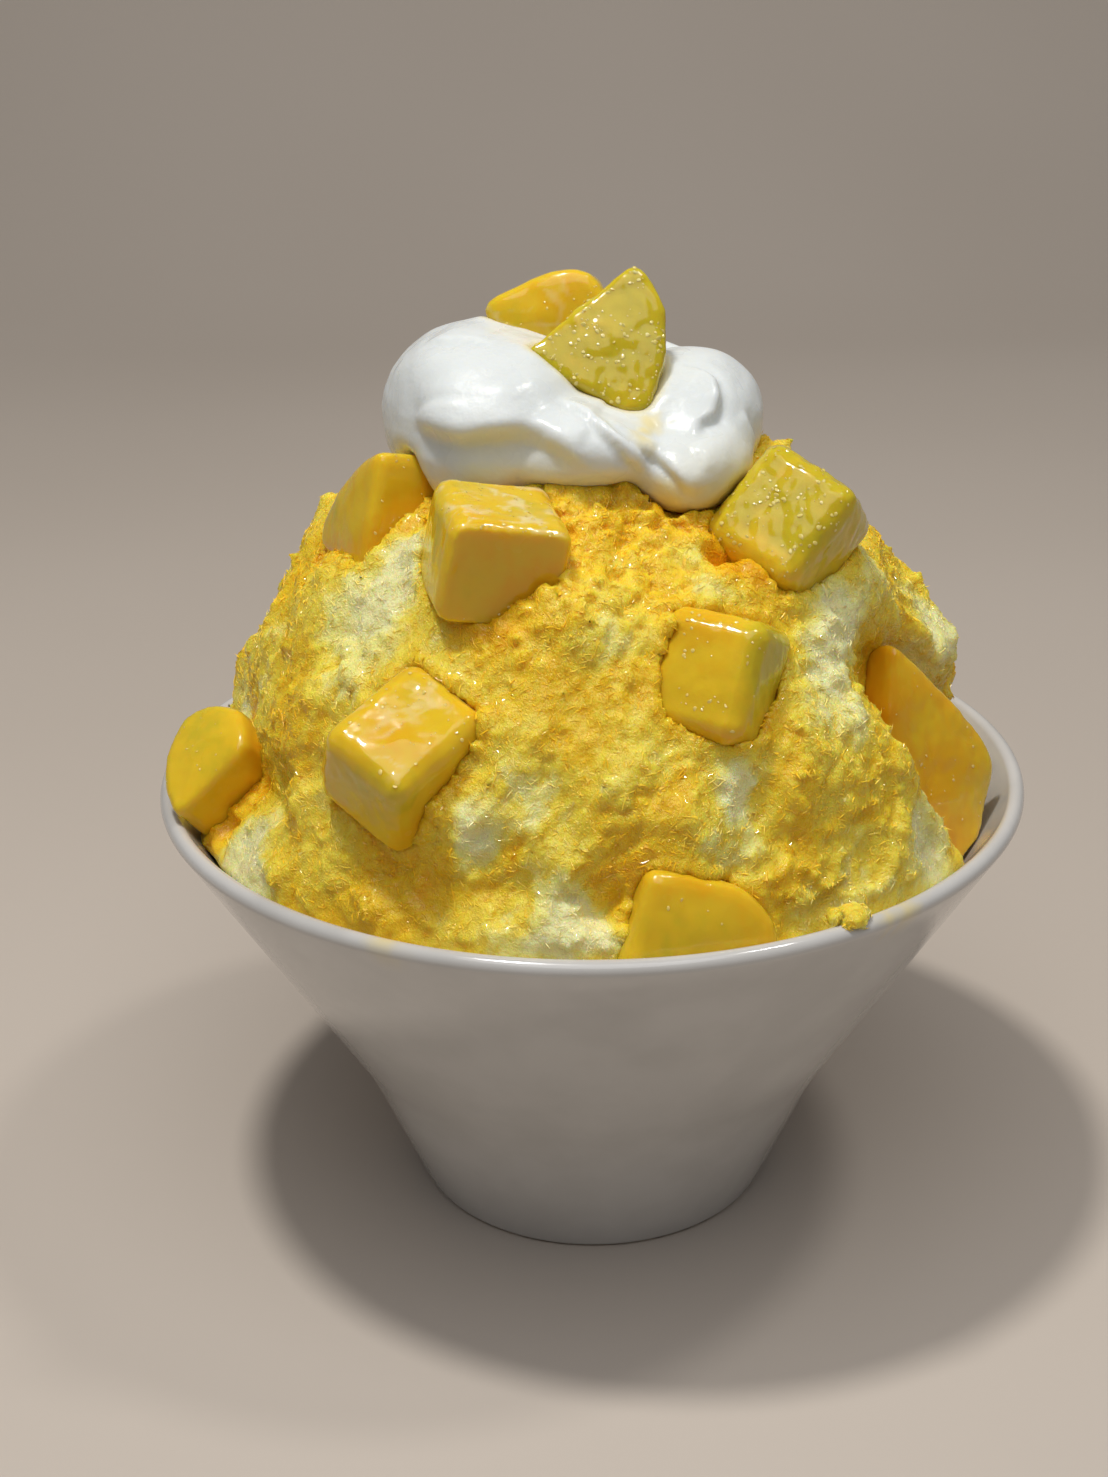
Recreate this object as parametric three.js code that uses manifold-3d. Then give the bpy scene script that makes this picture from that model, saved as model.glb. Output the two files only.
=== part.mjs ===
// Mango shaved ice, heaped in the white conical bowl it is served in.
// Millimetres, +Z up. The origin is the middle of the bowl's foot, and -Y is the eater's side.
// An azimuth is a compass angle in degrees round +Z from +X, so -90 points at the eater.

import * as THREE from "three";
import { mergeVertices } from "three/addons/utils/BufferGeometryUtils.js";
import { ConvexGeometry } from "three/addons/geometries/ConvexGeometry.js";
import { ImprovedNoise } from "three/addons/math/ImprovedNoise.js";
import Module from "manifold-3d";

// ---- Driving dimensions --------------------------------------------------------------------

// The bowl: a short steep foot cone below a wide straight one, with a rounded lip.
const RIM_RADIUS = 90;
const BOWL_HEIGHT = 96.6;
const LIP_THICKNESS = 3.6;
const KINK_RADIUS = 51.2;
const KINK_HEIGHT = 31;
const KINK_SOFTNESS = 7;
const FOOT_RADIUS = 38.2;
const WALL_AT_KINK = 4.4;
const FLOOR_HEIGHT = 9;
const FLOOR_FILLET = 9;
const FOOT_RING_WIDTH = 5;
const FOOT_RECESS = 2.4;
const FOOT_EDGE = 1.6;
const BOWL_SIDES = 54;
const LIP_PIECES = 6;

// The heap of shaved ice, as radius and height of its even form before the crags.
const ICE_SIDES = 64;
const ICE_STEP = 6.8;
const ICE_FORM = [
  [82, 90],
  [79.6, 99],
  [76.2, 110],
  [71.4, 122],
  [64.6, 134],
  [55, 146.5],
  [43.5, 156.5],
  [32, 163.5],
  [17, 168],
  [0, 169],
];

// The gaps that the ice leaves inside the rim: a deep one where the long slice stands, and a
// shallow one under the chunk at the left. Each runs between two azimuths at the rim, which lean
// round the heap by so many degrees a millimetre, from its floor up to where it has closed.
const GAPS = [
  { between: [-31, 14], lean: [-0.5, -0.75], floor: 72, depth: 15, fullTo: 124, closedAt: 142 },
  { between: [-190, -136], lean: [0, 0], floor: 96, depth: 8, fullTo: 108, closedAt: 124 },
];
const GAP_EDGE = 12;
const GAP_FLOOR_RISE = 2;

// Above this height the heap stands a little to the right of the bowl's axis.
const HEAP_LEAN = 0.8;
const LEAN_FROM = 130;

// How far the ice and the fruit stay above the inner kink and inside the floor's fillet.
const KINK_DROP = 0.5;
const FILLET_INSET = 1.5;

// Neighbours that touch keep this far apart. Round ones need more, because the flat sides of
// one don't line up with those of the other.
const CLEARANCE = 0.34;
const ROUND_CLEARANCE = 0.46;
const CREAM_CLEARANCE = 0.41;

// ---- Small tools ---------------------------------------------------------------------------

const rad = THREE.MathUtils.degToRad;
const smooth = THREE.MathUtils.smoothstep;
const wasm = await Module();
wasm.setup();

function positionsOnly(geometry) {
  const bare = geometry.clone();
  bare.deleteAttribute("normal");
  bare.deleteAttribute("uv");
  return mergeVertices(bare, 1e-3);
}

function toSolid(geometry) {
  const merged = positionsOnly(geometry);
  return new wasm.Manifold(
    new wasm.Mesh({
      numProp: 3,
      vertProperties: new Float32Array(merged.attributes.position.array),
      triVerts: new Uint32Array(merged.index.array),
    }),
  );
}

// The largest body of a solid, as a geometry: a cut can leave loose scraps beside it.
function toGeometry(solid) {
  const bodies = solid.decompose();
  bodies.sort((a, b) => b.volume() - a.volume());
  const mesh = bodies[0].getMesh();
  const geometry = new THREE.BufferGeometry();
  geometry.setAttribute("position", new THREE.BufferAttribute(mesh.vertProperties, 3));
  geometry.setIndex(new THREE.BufferAttribute(mesh.triVerts, 1));
  geometry.computeVertexNormals();
  return geometry;
}

function joinSolids(solids) {
  return solids.reduce((all, next) => all.add(next));
}

// A point given by azimuth, distance from the bowl's axis and height.
function polar(azimuth, radius, height) {
  return new THREE.Vector3(
    radius * Math.cos(rad(azimuth)),
    radius * Math.sin(rad(azimuth)),
    height,
  );
}

// A frame at a point whose +Z faces an azimuth and elevation, then rolls about that +Z.
function facing(point, azimuth, elevation, roll) {
  const normal = polar(azimuth, Math.cos(rad(elevation)), Math.sin(rad(elevation)));
  const right = polar(azimuth + 90, 1, 0);
  const up = normal.clone().cross(right);
  return new THREE.Matrix4()
    .makeBasis(right, up, normal)
    .multiply(new THREE.Matrix4().makeRotationZ(rad(roll)))
    .setPosition(point);
}

// ---- The bowl ------------------------------------------------------------------------------

// Direction and outward normal of the straight upper wall, as radius and height.
const lipRadius = LIP_THICKNESS / 2;
const lipCentre = new THREE.Vector2(RIM_RADIUS - lipRadius, BOWL_HEIGHT - lipRadius);
const wallSlope = new THREE.Vector2(RIM_RADIUS - KINK_RADIUS, lipCentre.y - KINK_HEIGHT).normalize();
const wallNormal = new THREE.Vector2(wallSlope.y, -wallSlope.x);
const footSlope = new THREE.Vector2(KINK_RADIUS - FOOT_RADIUS, KINK_HEIGHT).normalize();
const outerKink = new THREE.Vector2(KINK_RADIUS, KINK_HEIGHT);
const kinkNormal = new THREE.Vector2(footSlope.y, -footSlope.x).add(wallNormal).normalize();
const innerKink = outerKink.clone().addScaledVector(kinkNormal, -WALL_AT_KINK);
const innerLip = lipCentre.clone().addScaledVector(wallNormal, -lipRadius);

// Radius of the bowl's inside at a height, without the fillet at its floor.
function innerRadius(height) {
  if (height < innerKink.y) {
    return innerKink.x - ((innerKink.y - height) * footSlope.x) / footSlope.y;
  }
  const share = (height - innerKink.y) / (innerLip.y - innerKink.y);
  return innerKink.x + share * (innerLip.x - innerKink.x);
}

// A corner of the profile drawn as a short curve between two directions.
function softCorner(corner, before, after, reach, pieces) {
  const start = corner.clone().addScaledVector(before, -reach);
  const end = corner.clone().addScaledVector(after, reach);
  return new THREE.QuadraticBezierCurve(start, corner, end).getPoints(pieces);
}

// The lip's half circle, from the top of the outer wall over to the top of the inner one.
function lipProfile() {
  const middle = new THREE.Vector2();
  return Array.from({ length: LIP_PIECES + 1 }, (_, turn) => {
    const angle = wallNormal.angle() + (turn / LIP_PIECES) * Math.PI;
    return new THREE.Vector2(lipRadius, 0).rotateAround(middle, angle).add(lipCentre);
  });
}

// The bowl's outline from the middle of its foot, up the outside, over the lip and down inside.
function bowlGeometry() {
  const out = new THREE.Vector2(1, 0);
  const inwards = new THREE.Vector2(-1, 0);
  const downWall = wallSlope.clone().negate();
  const downFoot = footSlope.clone().negate();
  const footCorner = new THREE.Vector2(FOOT_RADIUS, 0);
  const innerFloor = new THREE.Vector2(innerRadius(FLOOR_HEIGHT), FLOOR_HEIGHT);
  const ringInside = FOOT_RADIUS - FOOT_RING_WIDTH;
  const profile = [
    new THREE.Vector2(0, FOOT_RECESS),
    new THREE.Vector2(ringInside - FOOT_EDGE, FOOT_RECESS),
    new THREE.Vector2(ringInside, 0),
    ...softCorner(footCorner, out, footSlope, FOOT_EDGE, 2),
    ...softCorner(outerKink, footSlope, wallSlope, KINK_SOFTNESS, 3),
    ...lipProfile(),
    ...softCorner(innerKink, downWall, downFoot, KINK_SOFTNESS, 1),
    ...softCorner(innerFloor, downFoot, inwards, FLOOR_FILLET, 2),
    new THREE.Vector2(0, FLOOR_HEIGHT),
  ];
  return new THREE.LatheGeometry(profile, BOWL_SIDES).rotateX(Math.PI / 2);
}

// The room inside the bowl and above its lip, clear of the wall: fruit that leans on the wall
// is pressed to this.
function cavityGeometry() {
  const lipInside = innerLip.x - ROUND_CLEARANCE;
  const above = BOWL_HEIGHT + CLEARANCE;
  const top = 2 * BOWL_HEIGHT;
  const profile = [
    new THREE.Vector2(0, FLOOR_HEIGHT + CLEARANCE),
    new THREE.Vector2(innerRadius(FLOOR_HEIGHT) - FLOOR_FILLET, FLOOR_HEIGHT + CLEARANCE),
    new THREE.Vector2(innerKink.x - ROUND_CLEARANCE, innerKink.y + KINK_DROP),
    new THREE.Vector2(lipInside, innerLip.y),
    new THREE.Vector2(lipInside, above),
    new THREE.Vector2(RIM_RADIUS + LIP_THICKNESS, above),
    new THREE.Vector2(RIM_RADIUS + LIP_THICKNESS, top),
    new THREE.Vector2(0, top),
  ];
  return new THREE.LatheGeometry(profile, BOWL_SIDES).rotateX(Math.PI / 2);
}

// ---- Fruit ---------------------------------------------------------------------------------

// A block of mango cut with a knife. Its edges are rounded, its top is smaller than its foot by
// taper, its faces belly out, and dish hollows the face that looks along -Y.
// grow makes it that much larger all round, as a tool that cuts its pocket.
function fruitBlock({ wide, deep, tall, edge = 2.6, taper = 0.06, belly = 0.5, dish = 0 }, grow = 0) {
  const half = new THREE.Vector3(wide, deep, tall).multiplyScalar(0.5).addScalar(grow);
  const round = edge + grow;
  const core = half.clone().subScalar(round);
  const geometry = new THREE.BoxGeometry(2, 2, 2, 4, 4, 4);
  const position = geometry.attributes.position;
  const p = new THREE.Vector3();
  for (let i = 0; i < position.count; i += 1) {
    p.fromBufferAttribute(position, i);
    // Where on its face the point lies, from -1 to 1. The loops halfway out move to where the
    // rounded edge begins.
    const share = p.clone();
    for (const axis of ["x", "y", "z"]) {
      const size = Math.abs(p[axis]);
      const reach = size === 0.5 ? core[axis] : size * half[axis];
      p[axis] = Math.sign(p[axis]) * reach;
    }
    const inner = p.clone().clamp(core.clone().negate(), core);
    const past = p.clone().sub(inner);
    if (past.length() > 0) p.copy(inner).add(past.setLength(round));
    p.x += Math.sign(share.x) * belly * (1 - share.y ** 2) * (1 - share.z ** 2) * share.x ** 2;
    p.y += Math.sign(share.y) * belly * (1 - share.x ** 2) * (1 - share.z ** 2) * share.y ** 2;
    p.z += Math.sign(share.z) * belly * (1 - share.x ** 2) * (1 - share.y ** 2) * share.z ** 2;
    if (share.y < -0.9) p.y += dish * (1 - share.x ** 2) * (1 - share.z ** 2);
    const narrow = 1 - taper * (p.z / half.z);
    p.x *= narrow;
    p.y *= narrow;
    position.setXYZ(i, p.x, p.y, p.z);
  }
  return geometry;
}

// An outline given by its corners, each rounded off, as points with their outward normals.
function roundedOutline(corners, reach) {
  const ends = corners.map(([x, y]) => new THREE.Vector2(x, y));
  const shape = new THREE.Shape();
  ends.forEach((end, i) => {
    const inTo = ends[(i + ends.length - 1) % ends.length].clone().sub(end);
    const outOf = ends[(i + 1) % ends.length].clone().sub(end);
    inTo.setLength(Math.min(reach, 0.45 * inTo.length())).add(end);
    outOf.setLength(Math.min(reach, 0.45 * outOf.length())).add(end);
    if (i === 0) shape.moveTo(inTo.x, inTo.y);
    else shape.lineTo(inTo.x, inTo.y);
    shape.quadraticCurveTo(end.x, end.y, outOf.x, outOf.y);
  });
  const points = shape.getPoints(2);
  const turn = Math.sign(THREE.ShapeUtils.area(points));
  return points.map((point, i) => {
    const before = points[(i + points.length - 1) % points.length];
    const after = points[(i + 1) % points.length];
    const along = after.clone().sub(before).normalize();
    return { point, normal: new THREE.Vector2(along.y, -along.x).multiplyScalar(turn) };
  });
}

// A slice of mango: an outline with rounded corners and edges, its cut face at the origin facing
// +Z and its body behind it. The middle of the face stands out by crown.
function fruitSlice({ outline, thick, corner = 3, bevel = 2, crown = 0.8 }, grow = 0) {
  const rim = roundedOutline(outline, corner);
  const points = [new THREE.Vector3(0, 0, crown + grow)];
  for (const share of [0, 0.5, 1]) {
    const inset = bevel * (1 - Math.sin((share * Math.PI) / 2)) - grow;
    const back = bevel * (1 - Math.cos((share * Math.PI) / 2)) - grow;
    for (const { point, normal } of rim) {
      const x = point.x - inset * normal.x;
      const y = point.y - inset * normal.y;
      points.push(new THREE.Vector3(x, y, -back));
      points.push(new THREE.Vector3(x, y, back - thick));
    }
  }
  return new ConvexGeometry(points);
}

// Every piece of fruit: its cut shape, the point that its middle (a block) or the middle of its
// face (a slice) takes, and the azimuth, elevation and roll in which its +Z faces. A piece that
// leans rests against the bowl's wall.
const FRUIT = {
  mango_top_back: {
    slice: {
      outline: [[-12.4, 0.8], [-9.6, 3.6], [1, 8.6], [6.6, 9.4], [10.6, 7], [12.6, 2], [11, -6], [-9, -6]],
      thick: 11,
      corner: 2.4,
    },
    at: new THREE.Vector3(-8.6, -1.5, 191.2),
    faces: [-96, 14, 0],
  },
  mango_top_front: {
    slice: {
      outline: [
        [-17, -1.4], [3.4, 15.2], [6.4, 13.2], [9.5, 6.4],
        [9.3, -4], [6, -13.5], [2.4, -14.6], [-15.4, -4.2],
      ],
      thick: 8.5,
      corner: 1.8,
      bevel: 1.4,
    },
    at: new THREE.Vector3(5, -16.7, 189.6),
    faces: [-90, 31, 0],
  },
  mango_slab_upper_left: {
    slice: {
      outline: [[9.5, 13.5], [2, 9.5], [-5.5, 3], [-11.5, -6], [-10.5, -12.5], [9, -12.5], [13, -10.5]],
      thick: 15,
    },
    at: new THREE.Vector3(-46.8, -18, 159),
    faces: [-154, 15, 0],
  },
  mango_cube_upper_centre: {
    block: { wide: 22.5, deep: 23, tall: 20, taper: 0, dish: 2.4 },
    at: new THREE.Vector3(-18.2, -42.6, 156.2),
    faces: [-24, 77, -54],
  },
  mango_cube_upper_right: {
    block: { wide: 21.5, deep: 23.5, tall: 18, taper: 0.05 },
    at: new THREE.Vector3(36.5, -29.6, 156.3),
    faces: [-109, 39, -29],
  },
  mango_cube_middle_right: {
    block: { wide: 20, deep: 23, tall: 16 },
    at: new THREE.Vector3(21.5, -55, 136),
    faces: [-114, 29, -5],
  },
  mango_cube_middle_left: {
    block: { wide: 25, deep: 20.5, tall: 20 },
    at: new THREE.Vector3(-34.5, -59.8, 124.1),
    faces: [-86, 55, 44],
  },
  mango_chunk_rim_left: {
    leans: true,
    slice: {
      outline: [[1, -18.5], [-6, -14], [-11.5, -6], [-12.2, 2], [-8, 6.6], [0.5, 8], [8.8, 1.6]],
      thick: 14,
    },
    at: new THREE.Vector3(-75.2, -22.5, 112),
    faces: [-133, 46, 0],
  },
  mango_chunk_rim_front: {
    leans: true,
    slice: {
      outline: [[-9.5, 12], [-6, 12], [7, 8.2], [14, 1], [14, -14], [-19, -14]],
      thick: 15,
      bevel: 2.4,
    },
    at: new THREE.Vector3(18.6, -81.5, 98),
    faces: [-78, 18, 0],
  },
  mango_slice_rim_right: {
    leans: true,
    slice: {
      outline: [
        [-12, 27], [-6.5, 22], [8.6, 4], [13, -4.6], [4.5, -20.5],
        [-4, -25], [-9, -20], [-16, -4], [-17, 12],
      ],
      thick: 9,
      bevel: 2.4,
    },
    at: new THREE.Vector3(72.5, -22.5, 105.5),
    faces: [-52, 14, 0],
  },
  mango_cube_back_high: {
    block: { wide: 22, deep: 20, tall: 18 },
    at: polar(72, 45, 157),
    faces: [80, 62, 24],
  },
  mango_cube_back_left: {
    block: { wide: 23, deep: 19, tall: 17 },
    at: polar(126, 61, 134),
    faces: [120, 48, -32],
  },
  mango_cube_back_right: {
    block: { wide: 21, deep: 22, tall: 17 },
    at: polar(48, 66, 129),
    faces: [40, 40, 38],
  },
  mango_chunk_rim_back: {
    leans: true,
    block: { wide: 24, deep: 18, tall: 17, edge: 4 },
    at: polar(98, 74, 107),
    faces: [104, 44, 12],
  },
};

function fruitGeometry(piece, grow = 0) {
  const geometry = piece.block ? fruitBlock(piece.block, grow) : fruitSlice(piece.slice, grow);
  const [azimuth, elevation, roll] = piece.faces;
  return geometry.applyMatrix4(facing(piece.at, azimuth, elevation, roll));
}

// ---- Whipped cream -------------------------------------------------------------------------

// The dollop is spooned on in lobes that run into each other and leave creases between them.
const CREAM_LOBES = [
  { at: [-20, -6, 172], half: [21.5, 28, 19], turn: 10 },
  { at: [-4, -21.5, 171.2], half: [19, 15, 8.2], turn: -22 },
  { at: [18, -6, 171], half: [17.2, 21, 14.6], turn: -10 },
  { at: [19.5, -23, 166.5], half: [11, 14, 9], turn: -35 },
  { at: [3, 15, 170.5], half: [26, 16, 12.5], turn: 8 },
];
// How square a lobe's outline is: 1 is an ellipse.
const CREAM_FULLNESS = 0.93;

function creamLobe({ at, half, turn }, grow = 0) {
  const noise = new ImprovedNoise();
  const geometry = new THREE.SphereGeometry(1, 16, 10);
  geometry.rotateX(Math.PI / 2);
  const position = geometry.attributes.position;
  const p = new THREE.Vector3();
  for (let i = 0; i < position.count; i += 1) {
    p.fromBufferAttribute(position, i);
    const soft = 0.97 + 0.06 * noise.noise(p.x * 1.7 + at[0], p.y * 1.7 + at[1], p.z * 1.7);
    const full = (share) => Math.sign(share) * Math.abs(share) ** CREAM_FULLNESS;
    p.set(full(p.x) * half[0], full(p.y) * half[1], full(p.z) * half[2]).multiplyScalar(soft);
    const out = new THREE.Vector3(p.x / half[0] ** 2, p.y / half[1] ** 2, p.z / half[2] ** 2);
    if (grow > 0) p.add(out.setLength(grow));
    position.setXYZ(i, p.x, p.y, p.z);
  }
  geometry.rotateZ(rad(turn));
  geometry.translate(...at);
  return geometry;
}

function creamSolid(grow = 0) {
  return joinSolids(CREAM_LOBES.map((lobe) => toSolid(creamLobe(lobe, grow))));
}

// ---- Shaved ice ----------------------------------------------------------------------------

// Radius and height of the heap's surface from the bowl's floor up to its top, evenly spaced
// where it stands free.
function iceProfile() {
  const floor = FLOOR_HEIGHT + CLEARANCE;
  const fillet = FLOOR_HEIGHT + FLOOR_FILLET;
  const gapFloor = GAPS[0].floor;
  const hidden = [fillet, innerKink.y + KINK_DROP, 54, gapFloor, gapFloor + 3, gapFloor + 10];
  const below = hidden.map((height) => new THREE.Vector2(innerRadius(height) - ROUND_CLEARANCE, height));
  below[0].x -= FILLET_INSET;
  const form = new THREE.SplineCurve(ICE_FORM.map(([radius, height]) => new THREE.Vector2(radius, height)));
  const count = Math.round(form.getLength() / ICE_STEP);
  const free = form.getSpacedPoints(count);
  return [
    new THREE.Vector2(0, floor),
    new THREE.Vector2(innerRadius(FLOOR_HEIGHT) - FLOOR_FILLET, floor),
    ...below,
    ...free,
  ];
}

// How far the crags stand out of the even form, by layers of noise: broad lumps where the
// shaver dropped its clumps, and sharp ridges between the places where syrup sank in.
const crags = new ImprovedNoise();

function cragHeight(x, y, z) {
  const lumps = 3.8 * crags.noise(x / 23 + 4.1, y / 23, z / 19);
  const clumps = 2.9 * crags.noise(x / 10.5, y / 10.5 + 7.3, z / 9);
  const ridges = 2.4 * (0.45 - Math.abs(crags.noise(x / 14 + 2.2, y / 14, z / 16 + 5.9)) * 1.6);
  return lumps + clumps + ridges;
}

// How far the gaps push the ice back from the wall at an azimuth and a height.
function gapDepth(azimuth, height) {
  const depths = GAPS.map(({ between, lean, floor, depth, fullTo, closedAt }) => {
    const [start, end] = between.map((edge, i) => edge + lean[i] * (height - BOWL_HEIGHT));
    const past = THREE.MathUtils.euclideanModulo(azimuth - start, 360);
    const across = smooth(past, 0, GAP_EDGE) * smooth(end - start - past, 0, GAP_EDGE);
    const opening = smooth(height, floor, floor + GAP_FLOOR_RISE);
    return depth * across * opening * (1 - smooth(height, fullTo, closedAt));
  });
  return Math.max(...depths);
}

function iceGeometry() {
  const profile = iceProfile();
  const last = profile.length - 1;
  const vertices = [];
  const triangles = [];
  profile.forEach((base, ring) => {
    const pole = ring === 0 || ring === last;
    const before = profile[Math.max(ring - 1, 0)];
    const after = profile[Math.min(ring + 1, last)];
    const along = after.clone().sub(before).normalize();
    for (let side = 0; side < (pole ? 1 : ICE_SIDES); side += 1) {
      const azimuth = ((side + 0.5 * (ring % 2)) / ICE_SIDES) * 360;
      const flat = polar(azimuth, base.x, base.y);
      const free = smooth(base.y, BOWL_HEIGHT - 10, BOWL_HEIGHT + 2);
      const out = free * cragHeight(flat.x, flat.y, flat.z);
      const height = base.y - out * along.x;
      const wall = height < lipCentre.y ? innerRadius(height) - ROUND_CLEARANCE : Infinity;
      const radius = Math.min(base.x + out * along.y - gapDepth(azimuth, base.y), wall);
      const point = pole ? flat : polar(azimuth, radius, height);
      point.x += HEAP_LEAN * smooth(height, BOWL_HEIGHT, LEAN_FROM);
      vertices.push(point.x, point.y, point.z);
    }
  });
  const index = (ring, side) => {
    if (ring === 0) return 0;
    if (ring === last) return vertices.length / 3 - 1;
    return 1 + (ring - 1) * ICE_SIDES + (side % ICE_SIDES);
  };
  for (let ring = 0; ring < last; ring += 1) {
    const lower = ring % 2;
    for (let side = 0; side < ICE_SIDES; side += 1) {
      const a = index(ring, side);
      const b = index(ring, side + 1);
      const c = index(ring + 1, side);
      const d = index(ring + 1, side + 1);
      if (ring === 0) triangles.push(a, d, c);
      else if (ring === last - 1) triangles.push(a, b, c);
      else if (lower) triangles.push(a, b, d, a, d, c);
      else triangles.push(a, b, c, b, d, c);
    }
  }
  const geometry = new THREE.BufferGeometry();
  geometry.setAttribute("position", new THREE.Float32BufferAttribute(vertices, 3));
  geometry.setIndex(triangles);
  return geometry;
}

// ---- The dessert ---------------------------------------------------------------------------

const glaze = new THREE.MeshStandardMaterial({ color: 0xece9e2, roughness: 0.18, metalness: 0 });
const syrupIce = new THREE.MeshStandardMaterial({ color: 0xe0b023, roughness: 0.45, metalness: 0 });
const cream = new THREE.MeshStandardMaterial({ color: 0xf3f3ea, roughness: 0.42, metalness: 0 });
const mango = new THREE.MeshStandardMaterial({ color: 0xe2a91e, roughness: 0.3, metalness: 0 });

function named(name, geometry, material) {
  const mesh = new THREE.Mesh(geometry, material);
  mesh.name = name;
  return mesh;
}

function build() {
  const dessert = new THREE.Group();
  dessert.add(named("bowl", bowlGeometry(), glaze));

  const pieces = Object.entries(FRUIT);
  const pockets = joinSolids(pieces.map(([, piece]) => toSolid(fruitGeometry(piece, CLEARANCE))));
  const heap = toSolid(iceGeometry()).subtract(pockets).subtract(creamSolid(CREAM_CLEARANCE));
  dessert.add(named("shaved_ice", toGeometry(heap), syrupIce));

  const dollop = creamSolid().subtract(pockets);
  dessert.add(named("whipped_cream", toGeometry(dollop), cream));

  const cavity = toSolid(cavityGeometry());
  for (const [name, piece] of pieces) {
    const whole = fruitGeometry(piece);
    const shape = piece.leans ? toGeometry(toSolid(whole).intersect(cavity)) : whole;
    dessert.add(named(name, shape, mango));
  }
  return dessert;
}

export default build();
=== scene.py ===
# %% [markdown]
# # Mango shaved ice in its bowl
#
# A white conical bowl holds a heap of shaved ice soaked with mango syrup. Cut mango is pressed
# into the heap, a dollop of whipped cream sits on top, and two wedges of mango stand in the
# cream. The solids of the dessert come from its CAD model, which is the frame. This lesson
# dresses them: real crags and flakes on the ice, folds in the cream, soft wet flesh on the fruit.
#
# Everything is in metres, with +Z up and the eater on the -Y side. The millimetre is the handy
# unit for food, so sizes are written as so many times MM.

import math

import bpy
import bmesh
import numpy as np
from mathutils import Matrix, Vector
from mathutils.bvhtree import BVHTree


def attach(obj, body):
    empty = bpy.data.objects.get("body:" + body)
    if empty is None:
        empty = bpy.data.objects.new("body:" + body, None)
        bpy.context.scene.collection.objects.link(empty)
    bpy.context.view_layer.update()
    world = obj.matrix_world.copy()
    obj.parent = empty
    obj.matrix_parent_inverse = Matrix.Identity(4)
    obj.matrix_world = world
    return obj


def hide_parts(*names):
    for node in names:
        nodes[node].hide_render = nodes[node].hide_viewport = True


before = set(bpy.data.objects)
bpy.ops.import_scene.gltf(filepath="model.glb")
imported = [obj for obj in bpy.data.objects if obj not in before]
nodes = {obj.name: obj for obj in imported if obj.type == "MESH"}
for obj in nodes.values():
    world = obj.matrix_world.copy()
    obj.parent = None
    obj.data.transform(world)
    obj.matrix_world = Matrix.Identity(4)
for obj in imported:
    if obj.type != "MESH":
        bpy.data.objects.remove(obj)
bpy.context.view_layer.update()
MM = 0.001

# %% [markdown]
# ## The camera
#
# A dish like this is shot from a seated eater's eye: about 45 cm away and 23 degrees above the
# table. The camera is placed by the point it looks at, its distance and its height angle, and it
# is tipped by less than a degree, as a hand-held one is. With AUTO fit, Blender lays the sensor's
# width along the picture's longer side, so the lens comes from the focal length in pixels over
# the picture's height.

# %% Camera
PICTURE_HEIGHT = 1477
FOCAL_PIXELS = 2200
SENSOR = 36.0
LOOKS_AT = Vector((-7.70, 0.0, 101.21)) * MM
CAMERA_DISTANCE = 462.73 * MM
CAMERA_ELEVATION = math.radians(23.13)
CAMERA_ROLL = math.radians(-0.772)

forward = Vector((0, math.cos(CAMERA_ELEVATION), -math.sin(CAMERA_ELEVATION)))
level = Vector((1, 0, 0))
upright = level.cross(forward)
right = level * math.cos(CAMERA_ROLL) + upright * math.sin(CAMERA_ROLL)
above = upright * math.cos(CAMERA_ROLL) - level * math.sin(CAMERA_ROLL)
camera_data = bpy.data.cameras.new("camera")
camera_data.sensor_width = SENSOR
camera_data.lens = SENSOR * FOCAL_PIXELS / PICTURE_HEIGHT
camera_data.clip_start = 10 * MM
camera = bpy.data.objects.new("camera", camera_data)
turned = Matrix((right, above, -forward)).transposed().to_4x4()
camera.matrix_world = Matrix.Translation(LOOKS_AT - forward * CAMERA_DISTANCE) @ turned
bpy.context.scene.collection.objects.link(camera)
bpy.context.scene.camera = camera
print("lens", round(camera_data.lens, 2), "mm")

# %% [markdown]
# ## Tools for meshes
#
# Blender stores a mesh as plain lists of numbers, so thousands of points move at once when they
# are read into a NumPy array, changed and written back. These helpers do that, and the rest of
# the lesson is built on them.

# %% Reading and writing points
def read(items, field, width, kind=np.int32):
    values = np.empty(len(items) * width, kind)
    items.foreach_get(field, values)
    return values.reshape(-1, width)


def points_of(mesh):
    return read(mesh.vertices, "co", 3, np.float32).astype(float)


def normals_of(mesh):
    return read(mesh.vertices, "normal", 3, np.float32).astype(float)


def triangles_of(mesh):
    mesh.calc_loop_triangles()
    return read(mesh.loop_triangles, "vertices", 3)


def edges_of(mesh):
    return read(mesh.edges, "vertices", 2).T


def move_points(mesh, points):
    mesh.vertices.foreach_set("co", points.astype(np.float32).ravel())
    mesh.update()


def length(vectors):
    return np.linalg.norm(vectors, axis=1)


def mark(mesh, name, values):
    """Keeps one number for each point of the mesh, for its material to read."""
    layer = mesh.attributes.new(name, "FLOAT", "POINT")
    layer.data.foreach_set("value", np.asarray(values, np.float32))


# %% Making pieces
def mesh_from(points, corners):
    """A mesh of triangles or quads, from arrays."""
    width = corners.shape[1]
    mesh = bpy.data.meshes.new("mesh")
    mesh.vertices.add(len(points))
    mesh.vertices.foreach_set("co", np.asarray(points, np.float32).ravel())
    mesh.loops.add(corners.size)
    mesh.loops.foreach_set("vertex_index", corners.astype(np.int32).ravel())
    mesh.polygons.add(len(corners))
    mesh.polygons.foreach_set("loop_start", np.arange(0, corners.size, width, dtype=np.int32))
    mesh.update(calc_edges=True)
    mesh.validate()
    return mesh


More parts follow.
